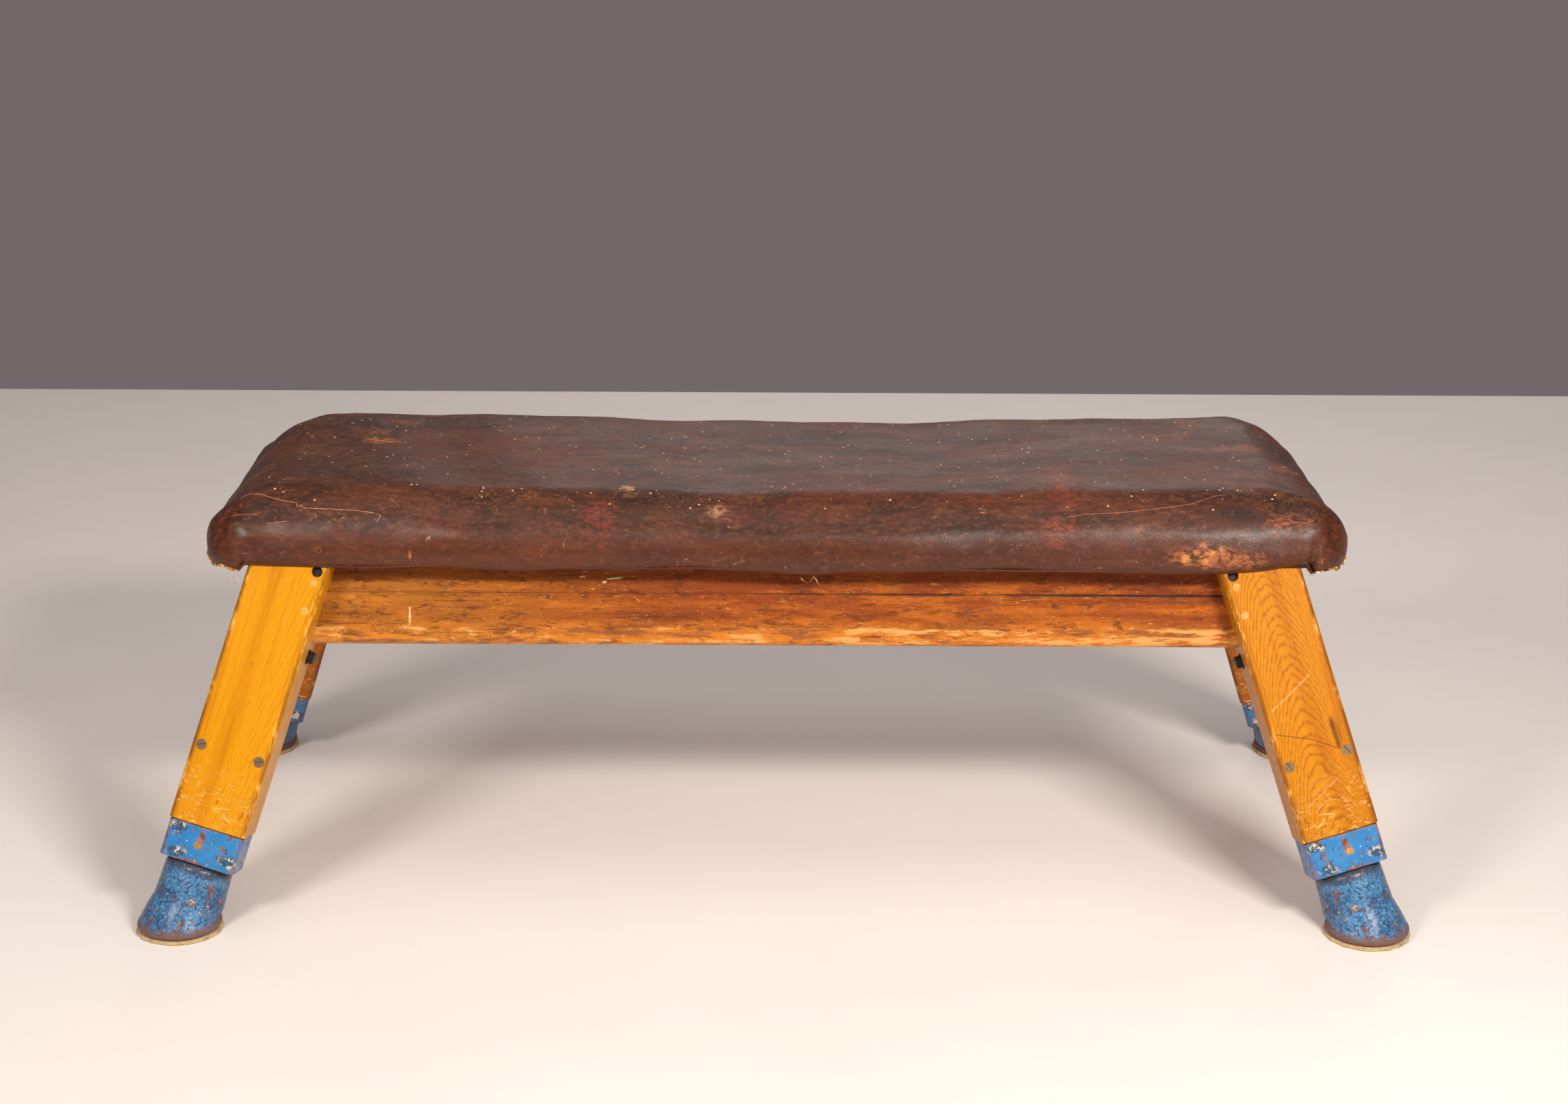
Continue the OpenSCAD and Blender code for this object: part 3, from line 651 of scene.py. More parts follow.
def blue_paint(name, leg, casting=False):
    """Blue paint over rusty iron, chipped through cream primer to brown and black."""
    look = Look(name, Coat_Weight=0.04 if casting else 0.2, Coat_Roughness=0.25,
                Specular_IOR_Level=0.4)
    at = look.leg_coords(leg)
    across, deep, along = look.split(at)
    shade = look.noise(at, 30, 4, 0.6)
    if casting:
        speckle = look.noise(at, 300, 4, 0.75)
        look.base(look.step(shade, 0.35, 0.65), srgb(44, 88, 134), srgb(74, 128, 172))
        look.coat(srgb(34, 56, 84), look.step(speckle, 0.51, 0.58))
        look.coat(srgb(134, 168, 190), look.step(speckle, 0.43, 0.36), 0.7)
        chips = look.noise(at, 75, 6, 0.8)
        rust = look.step(chips, 0.565, 0.61)
        pits = look.noise(at, 380, 3, 0.7)
        light = look.times(look.step(pits, 0.68, 0.72), 0.8)
    else:
        look.base(look.step(shade, 0.3, 0.7), srgb(34, 112, 172), srgb(50, 128, 186))
        chips = look.noise(at, 95, 6, 0.66, 0.6)
        rust = look.step(chips, 0.58, 0.595)
        light = look.times(look.step(look.noise(at, 240, 3, 0.7), 0.67, 0.69), 0.8)
    patches = look.noise(at, 100, 4, 0.7)
    brown = look.mix(look.step(patches, 0.4, 0.6), srgb(92, 58, 44), srgb(168, 92, 62))
    rim_of_chip = look.step(chips, 0.545 if casting else 0.568, 0.575 if casting else 0.585)
    look.coat(srgb(46, 48, 54), rim_of_chip, 0.55)
    look.coat(brown, rust)
    cream = look.times(rust, look.step(patches, 0.58, 0.64))
    look.coat(srgb(226, 206, 160), cream)
    look.coat(srgb(206, 214, 206), light)
    bare = rust
    if casting:
        height = look.split(look.coords())[2]
        ragged = look.noise(at, 55, 5, 0.7)
        lip = look.step(look.plus(height, look.between(ragged, -0.008, 0.008)),
                        0.021, 0.012)
        look.coat(srgb(116, 78, 60), lip, 0.85)
        # the casting's shoulder just under the collar, darkened to grey: painted shadow of the
        # collar
        shoulder = look.step(look.plus(along, look.between(ragged, -0.008, 0.008)),
                             0.073, 0.082)
        look.coat(srgb(58, 56, 60), shoulder, 0.75)
        bare = look.biggest(bare, look.times(lip, 0.7))
    else:
        ragged = look.noise(at, 90, 5, 0.7)
        wide = look.step_off(across, 0.041, 0.0485)
        corner_edge = look.times(wide, look.step_off(deep, 0.033, 0.0405))
        ends = look.biggest(look.step(along, 0.0935, 0.0895), look.step(along, 0.134, 0.137))
        worn = look.biggest(look.times(corner_edge, look.step(ragged, 0.42, 0.5)),
                            look.times(ends, look.step(ragged, 0.46, 0.52)))
        patch = look.near_spot(at, (-0.002, 0, 0.121), (0.006, 0.1, 0.016), ragged)
        worn = look.biggest(worn, look.times(patch, look.step(ragged, 0.36, 0.44)))
        look.coat(brown, worn)
        inward = 1 if name.endswith("right") else -1
        for spot in ((0.034, 0.129), (0.028, 0.098), (-0.037, 0.103)):
            middle = (inward * spot[0], 0, spot[1])
            flaked = look.near_spot(at, middle, (0.014, 0.1, 0.009), ragged)
            rim = look.times(flaked, look.step(patches, 0.38, 0.44))
            look.coat(srgb(40, 44, 50), rim, 0.8)
            look.coat(srgb(200, 192, 162), flaked, look.step(patches, 0.5, 0.55))
        bare = look.biggest(bare, worn)
    heights = look.minus(look.times(shade, 0.4), bare)
    if casting:
        heights = look.plus(heights, look.times(look.noise(at, 170, 4, 0.6), 0.9))
    normal = look.bump(heights, 0.0012 if casting else 0.0005, 0.6)
    return look.finish(look.between(bare, 0.3, 0.75), normal)


def metal(name, pale, dark, rough, metallic=0.9, scale=260):
    """Worn metal with grime in its hollows."""
    look = Look(name)
    at = look.coords()
    blot = look.noise(at, scale, 4, 0.55)
    look.base(look.step(blot, 0.36, 0.6), dark, pale)
    shine = look.between(look.step(blot, 0.3, 0.7), rough + 0.25, rough)
    shiny = look.between(look.step(blot, 0.35, 0.55), metallic * 0.4, metallic)
    return look.finish(shine, look.bump(blot, 0.0001, 0.3), shiny)


def felt():
    look = Look("felt", Specular_IOR_Level=0.15, Sheen_Weight=0.4)
    at = look.coords()
    fibres = look.streaks(at, (420, 420, 1050), 5, 0.75)
    grime = look.noise(at, 70, 4, 0.7)
    look.base(look.step(fibres, 0.35, 0.65), srgb(168, 130, 78), srgb(232, 204, 150))
    look.coat(srgb(128, 74, 44), look.step(grime, 0.52, 0.68), 0.7)
    return look.finish(look.between(fibres, 0.8, 0.98), look.bump(fibres, 0.0015, 0.9))


# ---------------------------------------------------------------- the leather cushion

COVER_LOW, COVER_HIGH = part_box("leather_cover")
HALF_X = COVER_HIGH.x - 0.003
HALF_Y = COVER_HIGH.y - 0.002
HEM_Z = COVER_LOW.z
TOP_Z = COVER_HIGH.z + 0.004
FRONT_CORNER_R = 0.056
BACK_CORNER_R = (0.062, 0.105)  # at the hem and at the top
VOXEL = 0.006
CLOTH_FRAMES = 20
MOST_SWELL = 0.004
NOTCH_X = 0.669
# the front hem's height along the horse
HEM_LINE = (
    (-0.669, 0.4535), (-0.578, 0.4503), (-0.50, 0.4490), (-0.426, 0.4522), (-0.327, 0.4464),
    (-0.262, 0.4498), (-0.195, 0.4484), (-0.096, 0.4499), (-0.031, 0.4484), (0.045, 0.4434),
    (0.09, 0.4468), (0.20, 0.4486), (0.307, 0.4482), (0.45, 0.4474), (0.56, 0.4479),
    (0.61, 0.4502), (0.645, 0.4570), (0.669, 0.4625),
)
# how far the ends reach, from the front to the back
END_LINE = (
    (-0.228, 0.7205), (-0.17, 0.7245), (-0.077, 0.7160), (0.005, 0.7115), (0.083, 0.7070),
    (0.16, 0.7015), (0.228, 0.7000),
)
END_SHIFT = 0.0025
DECK_CORNER_R = 0.045


def plan_outline(half_x, half_y, front_r, back_r):
    """Points and outward normals round the cushion seen from above."""
    arc_steps, end_steps, side_steps = 16, 44, 176
    corners = (
        (1, -1, front_r, -90, end_steps), (1, 1, back_r, 0, side_steps),
        (-1, 1, back_r, 90, end_steps), (-1, -1, front_r, 180, side_steps),
    )
    arcs = []
    for sx, sy, r, start, _ in corners:
        turns = [math.radians(start + 90 * i / arc_steps) for i in range(arc_steps + 1)]
        arcs.append([
            ((sx * (half_x - r) + r * math.cos(a), sy * (half_y - r) + r * math.sin(a)),
             (math.cos(a), math.sin(a)))
            for a in turns
        ])
    outline = []
    for arc, following, corner in zip(arcs, arcs[1:] + arcs[:1], corners):
        outline += arc
        (p, n), (q, _), steps = arc[-1], following[0], corner[4]
        for k in range(1, steps):
            t = k / steps
            outline.append(((p[0] + (q[0] - p[0]) * t, p[1] + (q[1] - p[1]) * t), n))
    return outline


def cushion_profile():
    """(inset, height) from the hem's inner edge, round the outside, to the flat top."""
    roll, tuck, widest = 0.070, 0.0155, HEM_Z + 0.030
    rise = TOP_Z - widest
    profile = [(tuck + 0.004, HEM_Z + 0.004), (tuck + 0.001, HEM_Z)]
    for k in range(7):
        a = math.radians(-78 + 78 * k / 6)
        profile.append((tuck * (1 - math.cos(a)), widest + 0.0298 * math.sin(a)))
    for k in range(1, 12):
        a = math.radians(90 * k / 11)
        profile.append((roll * (1 - math.cos(a)), widest + rise * math.sin(a)))
    return profile


def cushion_blank(material):
    """A closed block in the cushion's outline, remeshed to even small faces."""
    rings = []
    for inset, height in cushion_profile():
        share = float(smooth(height, HEM_Z + 0.02, TOP_Z - 0.01))
        back_r = BACK_CORNER_R[0] + (BACK_CORNER_R[1] - BACK_CORNER_R[0]) * share
        outline = plan_outline(HALF_X, HALF_Y, FRONT_CORNER_R, back_r)
        rings.append([(p[0] - n[0] * inset, p[1] - n[1] * inset, height) for p, n in outline])
    blank = rings_piece("leather_cushion", rings, material)
    remesh = blank.modifiers.new("even", "REMESH")
    remesh.mode = "VOXEL"
    remesh.voxel_size = VOXEL
    apply_modifiers(blank)
    return blank


def simulate(cushion):
    """Lets the leather fill and settle over its stuffing, with its lower edge held."""
    start = read_points(cushion)
    held = 1 - smooth(start[:, 2], HEM_Z + 0.008, HEM_Z + 0.04)
    group = cushion.vertex_groups.new(name="held")
    for level in range(1, 11):
        rows = np.nonzero(np.round(held * 10) == level)[0]
        if len(rows):
            group.add(rows.tolist(), level / 10, "REPLACE")
    cloth = cushion.modifiers.new("cloth", "CLOTH")
    settings = cloth.settings
    settings.quality = 4
    settings.mass = 0.4
    settings.tension_stiffness = settings.compression_stiffness = 40
    settings.shear_stiffness = 12
    settings.bending_stiffness = 6
    settings.use_pressure = True
    settings.uniform_pressure_force = 3.0
    settings.vertex_group_mass = "held"
    settings.effector_weights.gravity = 0
    cloth.point_cache.frame_start, cloth.point_cache.frame_end = 1, CLOTH_FRAMES
    scene = bpy.context.scene
    for number in range(1, CLOTH_FRAMES + 1):
        scene.frame_set(number)
    apply_modifiers(cushion)
    scene.frame_set(1)
    move = read_points(cushion) - start
    length = np.linalg.norm(move, axis=1, keepdims=True)
    move *= MOST_SWELL * np.tanh(length / MOST_SWELL) / np.maximum(length, 1e-9)
    write_points(cushion, start + move)
    relaxed = cushion.modifiers.new("relaxed", "SMOOTH")
    relaxed.factor, relaxed.iterations = 0.5, 12
    apply_modifiers(cushion)


def wave(x, parts):
    return sum(a * np.sin(2 * math.pi * x / length + phase) for a, length, phase in parts)


def hem_lift(x, y):
    """How far the lower edge lies above or below its drawn height, all round."""
    x, y = np.asarray(x, float), np.asarray(y, float)
    spots, heights = np.array(HEM_LINE).T
    fine = np.linspace(spots[0], spots[-1], 400)
    line = np.interp(fine, spots, heights)
    line = np.convolve(np.pad(line, 6, "edge"), np.full(13, 1 / 13), "valid")
    sides = np.interp(np.where(y > 0, -x, x), fine, line) - HEM_Z
    lobes = np.where(x * y > 0, -0.0055, -0.003) + 0.004 * (1 - smooth(np.abs(y), 0.1, 0.17))
    share = smooth(np.abs(x), NOTCH_X - 0.001, NOTCH_X + 0.008)
    return sides * (1 - share) + lobes * share


def shape_cushion(cushion):
    """Wear in the shape: a sagging middle, pinched ends, a wavy hem, lobes and pleats."""
    p = read_points(cushion)
    x, y, z = p[:, 0].copy(), p[:, 1].copy(), p[:, 2].copy()
    top = smooth(z, 0.49, 0.53)
    low = 1 - smooth(z, HEM_Z + 0.004, HEM_Z + 0.04)
    # broad dips and rises of the top
    p[:, 2] += top * (
        0.0045 * np.cos(2 * math.pi * (x - 0.62) / 1.15)
        + wave(x + 0.3 * y, ((0.0012, 0.31, 0.4), (0.0009, 0.17, 2.1)))
        + wave(y - 0.2 * x, ((0.0008, 0.19, 1.0),))
        - 0.003
    )
    # ends: full at the front corners, hollow further back
    ends = smooth(np.abs(x), 0.56, 0.71)
    places, reaches = np.array(END_LINE).T
    p[:, 0] += np.sign(x) * ends * (np.interp(y, places, reaches) - HALF_X)
    p[:, 0] += ends * (END_SHIFT + wave(y + 0.1 * x, ((0.0012, 0.11, 0.7),)))
    # low down the leather stays outside the deck's rounded ends
    low_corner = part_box("deck_board_front")[0]
    grown, soft = DECK_CORNER_R + 0.0075, 0.003
    past = np.clip(np.abs(y) + low_corner.y + DECK_CORNER_R, 0, grown)
    limit = -low_corner.x - DECK_CORNER_R + np.sqrt(grown * grown - past * past)
    push = soft * np.log1p(np.exp((limit - np.abs(p[:, 0])) / soft))
    below = 1 - smooth(z, 0.488, 0.515)
    p[:, 0] += np.sign(x) * push * below * smooth(np.abs(x), 0.64, 0.69)
    # the back is a little fuller than the front
    p[:, 1] += 0.008 * smooth(y, 0.1, 0.21)
    p[:, 2] += top * 0.002 * smooth(y, -0.05, 0.12)
    # front and back faces bulge unevenly
    faces = (1 - smooth(z, 0.5, 0.535)) * smooth(np.abs(y), 0.19, 0.22) * (1 - ends)
    p[:, 1] += np.sign(y) * faces * wave(x, ((0.0013, 0.43, 0.3), (0.0009, 0.19, 1.9)))
    p[:, 2] += low * hem_lift(x, y)
    # the lobes swell outwards past the pleats
    lobe = smooth(np.abs(x), NOTCH_X + 0.004, NOTCH_X + 0.02) * smooth(np.abs(y), 0.15, 0.19)
    swell = lobe * np.exp(-(((z - HEM_Z - 0.012) / 0.02) ** 2))
    p[:, 1] += np.sign(y) * 0.0035 * swell
    p[:, 0] += np.sign(x) * 0.002 * swell
    # pleats: a groove that rises from each notch
    deep = np.where(x * y > 0, 0.0045, 0.0085)
    tall = np.where(x * y > 0, 0.036, 0.052)
    reach = 1 - smooth(z, HEM_Z + 0.012, HEM_Z + tall)
    groove = np.exp(-(((np.abs(x) - NOTCH_X - 0.004 - 0.14 * (z - HEM_Z)) / 0.0042) ** 2))
    groove *= reach * smooth(np.abs(y), 0.18, 0.2)
    p[:, 1] -= np.sign(y) * groove * deep
    p[:, 2] += groove * low * 0.004
    # small folds fanning from the pleats
    for shift, size in ((0.014, 0.0012), (-0.016, 0.0009), (0.030, 0.0007)):
        line = np.exp(-(((np.abs(x) - NOTCH_X - shift - 0.3 * (z - HEM_Z)) / 0.004) ** 2))
        p[:, 1] -= np.sign(y) * line * reach * size * smooth(np.abs(y), 0.18, 0.2)
    write_points(cushion, p)


def open_underside(cushion):
    """Takes away the closed block's bottom, leaving the hem's inner edge."""
    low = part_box("deck_board_front")[0]
    keep_x, keep_y = -low.x + 0.004, -low.y + 0.004
    points = read_points(cushion)
    faces, skipped = [], HEM_Z + 0.012
    for polygon in cushion.data.polygons:
        centre = polygon.center
        inside = abs(centre.x) < keep_x and abs(centre.y) < keep_y
        if not (inside and centre.z < skipped):
            faces.append(tuple(polygon.vertices))
    used = sorted({v for face in faces for v in face})
    renumber = {old: new for new, old in enumerate(used)}
    mesh = bpy.data.meshes.new("leather_cushion_open")
    mesh.from_pydata(
        [tuple(points[v]) for v in used], [], [[renumber[v] for v in f] for f in faces]
    )
    mesh.update()
    mesh.materials.append(cushion.data.materials[0])
    mesh.polygons.foreach_set("use_smooth", [True] * len(mesh.polygons))
    cushion.data = mesh


def dents(cushion):
    """Small unevenness of old leather, along the surface's normals."""
    points = read_points(cushion)
    normals = np.empty(len(points) * 3)
    cushion.data.vertices.foreach_get("normal", normals)
    normals = normals.reshape(-1, 3)
    amounts = np.array([
        0.0011 * noise.noise(Vector((7 * p[0], 14 * p[1], 14 * p[2])))
        + 0.00045 * noise.noise(Vector((38 * p[0], 52 * p[1], 52 * p[2])))
        for p in points
    ])
    write_points(cushion, points + normals * amounts[:, None])


def store_scuffs(cushion):
    """Keep each point's worn amount and the tint of its patch, for the leather's nodes."""
    p = read_points(cushion)
    amount = np.zeros(len(p))
    tints = np.tile(np.array(srgb(*SCUFFS[0][2])[:3]), (len(p), 1))
    for centre, size, tint, strength in SCUFFS:
        reach = np.linalg.norm((p - np.array(centre)) / (np.array(size) * 1.25), axis=1)
        here = strength * np.clip(1.25 - reach, 0, 1)
        chosen = here > amount
        amount[chosen] = here[chosen]
        tints[here > 0.02] = np.array(srgb(*tint)[:3])
    for name, kind, key, values in (
        ("scuff", "FLOAT", "value", amount), ("scuff_tint", "FLOAT_VECTOR", "vector", tints),
    ):
        layer = cushion.data.attributes.new(name, kind, "POINT")
        layer.data.foreach_set(key, values.astype(np.float32).ravel())


def make_cushion(material):
    cushion = cushion_blank(material)
    simulate(cushion)
    open_underside(cushion)
    finer = cushion.modifiers.new("finer", "SUBSURF")
    finer.levels = finer.render_levels = 1
    apply_modifiers(cushion)
    shape_cushion(cushion)
    dents(cushion)
    store_scuffs(cushion)
    cushion.data.polygons.foreach_set("use_smooth", [True] * len(cushion.data.polygons))
    place(cushion, "frame", "leather", "leather_cover", "padding", "jute_lining")
    return cushion


def hem_band(material):
    """Leather turned in under the deck, from the cushion's lower edge to the tacks."""
    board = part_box("deck_board_front")
    half_x, half_y = -board[0].x, -board[0].y
    under = board[0].z
    outline = plan_outline(half_x + 0.0025, half_y + 0.0025, 0.046, 0.046)
    inset = [(-0.0045, HEM_Z + 0.0062), (-0.0015, HEM_Z + 0.0035), (0.001, HEM_Z + 0.0045),
             (0.0022, under - 0.004), (0.005, under - 0.0022), (0.027, under - 0.0026)]
    rings = []
    for depth, height in inset:
        ring = []
        for p, n in outline:
            ragged = 0.004 * noise.noise(Vector((p[0] * 9, p[1] * 9, 3))) if depth > 0.02 else 0
            rise = 0.0006 * noise.noise(Vector((p[0] * 30, p[1] * 30, depth * 50)))
            if depth < 0.002:
                rise += float(hem_lift(p[0], p[1])) + 0.001
            d = depth + ragged
            ring.append((p[0] - n[0] * d, p[1] - n[1] * d, height + rise))
        rings.append(ring)
    band = rings_piece("leather_hem_band", rings, material, close_ends=False)
    thick = band.modifiers.new("thick", "SOLIDIFY")
    thick.thickness, thick.offset = 0.0016, 0
    apply_modifiers(band)
    return place(band, "frame", "leather")


def lobe_edges(cushion, material):
    """The raw stitched edge that shows under each corner's lobe."""
    tree = BVHTree.FromObject(cushion, bpy.context.evaluated_depsgraph_get())
    strands = []
    for sx, sy in ((-1, -1), (1, -1), (-1, 1), (1, 1)):
        r = FRONT_CORNER_R if sy < 0 else BACK_CORNER_R[0]
        path = []
        for k in range(60):
            a = math.radians(4 + 80 * k / 59)
            x = sx * (HALF_X - r + r * math.sin(a) + 0.002)
            y = sy * (HALF_Y - r + r * math.cos(a) + 0.002)
            height = HEM_Z - 0.006 + 0.0008 * math.sin(k / 4) + 0.022 * max(0, (k - 34) / 26) ** 2
            spot, normal, _, _ = tree.find_nearest(Vector((x, y, height)))
            if abs(spot.x) > NOTCH_X + 0.010:
                path.append(spot + normal * 0.0002)
        sizes = [0.0016 + 0.0007 * noise.noise(p * 160) for p in path]
        sizes[0] = sizes[-1] = 0.0004
        strands.append(tube_piece("strand", path, sizes, material, 8))
    edge = join("leather_raw_edges", strands)
    return place(edge, "frame", "leather")


def scratch_lines(cushion, material):
    """Long scratches: torn fibres that stand barely proud of the leather."""
    tree = BVHTree.FromObject(cushion, bpy.context.evaluated_depsgraph_get())
    lines = []
    for strength, width, points in SCRATCHES:
        path, sizes = [], []
        for a, b in zip(points, points[1:]):
            a, b = Vector(a), Vector(b)
            count = max(2, round((b - a).length / 0.0018))
            for k in range(count):
                spot, normal, _, _ = tree.find_nearest(a.lerp(b, k / count))
                size = width * (0.62 + 0.5 * noise.noise(spot * 190)) * (0.5 + 0.5 * strength)
                path.append(spot - normal * size * 0.62)
                sizes.append(size)
        sizes[0] = sizes[-1] = 0.0001
        lines.append(tube_piece("line", path, sizes, material, 8))
    return place(join("leather_scratches", lines), "frame", "leather")


def loose_bits(cushion, thread_look, nail_look, hole_look):
    """Loose threads, a bent nail in the front hem, and dark tubes in the pleats' notches as their
    painted shadow.
    """
    rng = random.Random(4)
    tree = BVHTree.FromObject(cushion, bpy.context.evaluated_depsgraph_get())
    front = COVER_LOW.y + 0.004

    hem = HEM_Z - 0.002
    threads = []
    # ends as (x, past the front, past the hem), then the sag and the thickness
    for start, end, sag, size in (
        ((0.032, 0, 0), (0.044, -0.002, -0.006), 0.003, 0.00045),
        ((0.044, -0.002, -0.006), (0.049, -0.001, 0.001), 0.0, 0.0004),
        ((0.049, -0.001, 0.001), (0.056, -0.003, -0.010), 0.0, 0.0004),
        ((-0.676, 0, -0.005), (-0.681, -0.001, -0.013), 0.001, 0.0003),
        ((-0.690, 0.004, -0.006), (-0.694, 0.002, -0.012), 0.0, 0.0003),
        ((0.668, 0.002, 0.012), (0.677, -0.001, 0.006), 0.002, 0.0005),
    ):
        start, end = (Vector(p) + Vector((0, front, hem)) for p in (start, end))
        path = []
        for k in range(8):
            shift = rng.uniform(-0.0006, 0.0006), rng.uniform(-0.0008, 0.0002)
            drop = -sag * math.sin(math.pi * k / 7)
            path.append(start.lerp(end, k / 7) + Vector((*shift, drop)))
        threads.append(tube_piece("strand", path, size, thread_look, 5))
    place(join("loose_threads", threads), "frame", "leather")
    nail_path = [(0.0515, front + 0.006, hem + 0.001), (0.0525, front - 0.001, hem - 0.004),
                 (0.0550, front - 0.003, hem - 0.009), (0.0556, front - 0.0032, hem - 0.0102)]
    nail = tube_piece("bent_nail", nail_path, [0.0006, 0.0006, 0.0006, 0.0013], nail_look, 8)
    place(nail, "frame", "tack_steel")
    # dark tubes set into the pleats' notches: painted shadow
    holes = []
    for sx in (-1, 1):
        size = 0.0042 if sx > 0 else 0.0026
        centre = Vector((sx * (NOTCH_X + 0.001), COVER_LOW.y + 0.006, HEM_Z + 0.0075))
        spot = tree.find_nearest(centre)[0]
        path = [spot + Vector((0, k * 0.001 + 0.0012, 0)) for k in range(3)]
        holes.append(tube_piece("hole", path, [size * 0.8, size, size * 0.9], hole_look, 10))
    place(join("pleat_shadows", holes), "frame", "leather")


# ---------------------------------------------------------------- feet


def make_foot(corner, material):
    """A bell-shaped casting: a tilted neck that flares into a level rounded lip."""
    leg = LEGS[corner]
    felt_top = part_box("felt_pad_" + corner)[1].z
    lip_r, neck_low, neck_top = 0.0535, 0.0452, 0.043
    shoulder_at, top_at = 0.0795, 0.0884
    plan = [
        # (height along the leg, radius, share of the tilt)
        (felt_top + 0.0002, 0.030, 0), (felt_top + 0.0002, 0.048, 0),
        (felt_top + 0.0012, 0.0515, 0), (felt_top + 0.0042, lip_r, 0),
        (felt_top + 0.0072, lip_r - 0.0002, 0), (felt_top + 0.0102, 0.0522, 0.02),
        (felt_top + 0.0135, 0.0502, 0.08), (felt_top + 0.0175, 0.0484, 0.25),
        (felt_top + 0.0225, 0.0469, 0.5), (felt_top + 0.028, 0.0459, 0.75),
        (felt_top + 0.034, neck_low, 0.92), (felt_top + 0.041, 0.0448, 1),
    ]
    for k in range(1, 8):
        t = k / 8
        plan.append((
            0.045 + (shoulder_at - 0.045) * t, 0.0447 + (neck_top - 0.0447) * t, 1
        ))
    for k in range(7):
        a = math.radians(90 * k / 6)
        plan.append((
            shoulder_at + (top_at - shoulder_at) * math.sin(a),
            neck_top - 0.0085 * (1 - math.cos(a)), 1,
        ))
    plan.append((top_at, 0.02, 1))
    rings = []
    for at, radius, tilt in plan:
        up = Vector((0, 0, 1)).lerp(leg.up, tilt).normalized()
        level = leg.foot + Vector((0, 0, at))
        centre = level.lerp(leg.foot + leg.up * at, min(1, tilt + 0.12 * (at > 0.014)))
        turn = Vector((0, 0, 1)).rotation_difference(up)
        ring = []
        for level_way in circle(72):
            way = turn @ level_way
            spot = centre + way * radius
            bumps = 0.0006 * noise.noise(spot * 45) + 0.0003 * noise.noise(spot * 160)
            if 0.006 < at < 0.088:
                spot = spot + way * bumps
            ring.append(spot)
        rings.append(ring)
    foot = rings_piece("foot_bell_" + corner, rings, material)
    return place(foot, "leg_" + corner, "blue_casting", "foot_casting_" + corner)


def make_felt(corner, material):
    """A frayed felt disc, a little larger than the lip above it."""
    low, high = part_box("felt_pad_" + corner)
    centre, radius = (low + high) / 2, (high.x - low.x) / 2
    seed = CORNERS.index(corner) * 7.3
    rings = []
    for height, grow in ((low.z, -0.012), (low.z, 0.0002), (low.z + 0.001, 0.0016),
                         (low.z + 0.0026, 0.0014), (high.z - 0.0002, 0.0004),
                         (high.z - 0.0001, -0.006)):
        ring = []
        for way in circle(180):
            frayed = 0.0016 * noise.noise(Vector((way.x * 6, way.y * 6, seed)))
            frayed += 0.0007 * noise.noise(Vector((way.x * 30, way.y * 30, seed + height * 400)))
            reach = radius + grow + (frayed if grow > -0.002 else 0)
            ring.append(Vector((centre.x, centre.y, height)) + way * reach)
        rings.append(ring)
    body = "leg_" + corner
    place(rings_piece("felt_frayed_" + corner, rings, material), body, "felt",
          "felt_pad_" + corner)
    rng = random.Random(corner)
    hairs = []
    for _ in range(46):
        a = rng.uniform(0, 2 * math.pi)
        way = Vector((math.cos(a), math.sin(a), 0))
        start = Vector((centre.x, centre.y, rng.uniform(0.001, 0.0035))) + way * radius
        turn = Vector((-way.y, way.x, 0)) * rng.uniform(-0.004, 0.004)
        end = start + way * rng.uniform(0.0015, 0.004) + turn
        end.z = rng.uniform(0.0003, 0.004)
        bend = start.lerp(end, 0.6) + Vector((0, 0, rng.uniform(0, 0.0006)))
        hairs.append(tube_piece("hair", [start - way * 0.001, start, bend, end], 0.00014,
                                material, 4))
    place(join("felt_fibres_" + corner, hairs), body, "felt")


# ---------------------------------------------------------------- CAD parts


def dress(node, material, bevel=0.0):
    """Gives a CAD part its finish and, if asked, softened edges."""
    piece = frame["nodes"][node]
    piece.data.materials.clear()
    piece.data.materials.append(material)
    if bevel:
        soft = piece.modifiers.new("soft_edges", "BEVEL")
        soft.width = bevel
        soft.segments = 2
        soft.limit_method = "ANGLE"
        soft.angle_limit = math.radians(38)


def dress_legs(steel_look):
    for corner in CORNERS:
        leg = LEGS[corner]
        dress("outer_half_" + corner, leg_wood(corner), 0.0007)
        # on the back legs the inner half faces the front and takes the darker tones of painted
        # shade
        inner_look = leg_wood(corner, inner=corner.startswith("back"))
        dress("inner_half_" + corner, inner_look, 0.0007)
        dress("collar_" + corner, blue_paint("blue_collar_" + corner, leg), 0.0006)
        dress("inner_post_" + corner, post_wood(corner), 0.001)
        dress("foot_screw_" + corner, steel_look)
        make_foot(corner, blue_paint("blue_casting_" + corner, leg, casting=True))


def dress_deck():
    pine = plain_wood("deck_pine", srgb(206, 164, 104), srgb(160, 112, 60), "x")
    cross = plain_wood("cross_pine", srgb(196, 150, 92), srgb(150, 102, 54), "y")
    rails = rail_wood()
    for row in ("front", "middle", "back"):
        dress("deck_board_" + row, pine, 0.0008)
    for place_name in ("left", "centre", "right"):
        dress("cross_batten_" + place_name, cross, 0.0008)
    for side in ("front", "back"):
        dress(side + "_rail", rails, 0.001)
        dress(side + "_batten", rails, 0.0006)
    end_look = plain_wood("end_rail_wood", srgb(176, 98, 30), srgb(120, 58, 16), "y")
    for end in ("left", "right"):
        dress("end_rail_" + end, end_look, 0.001)


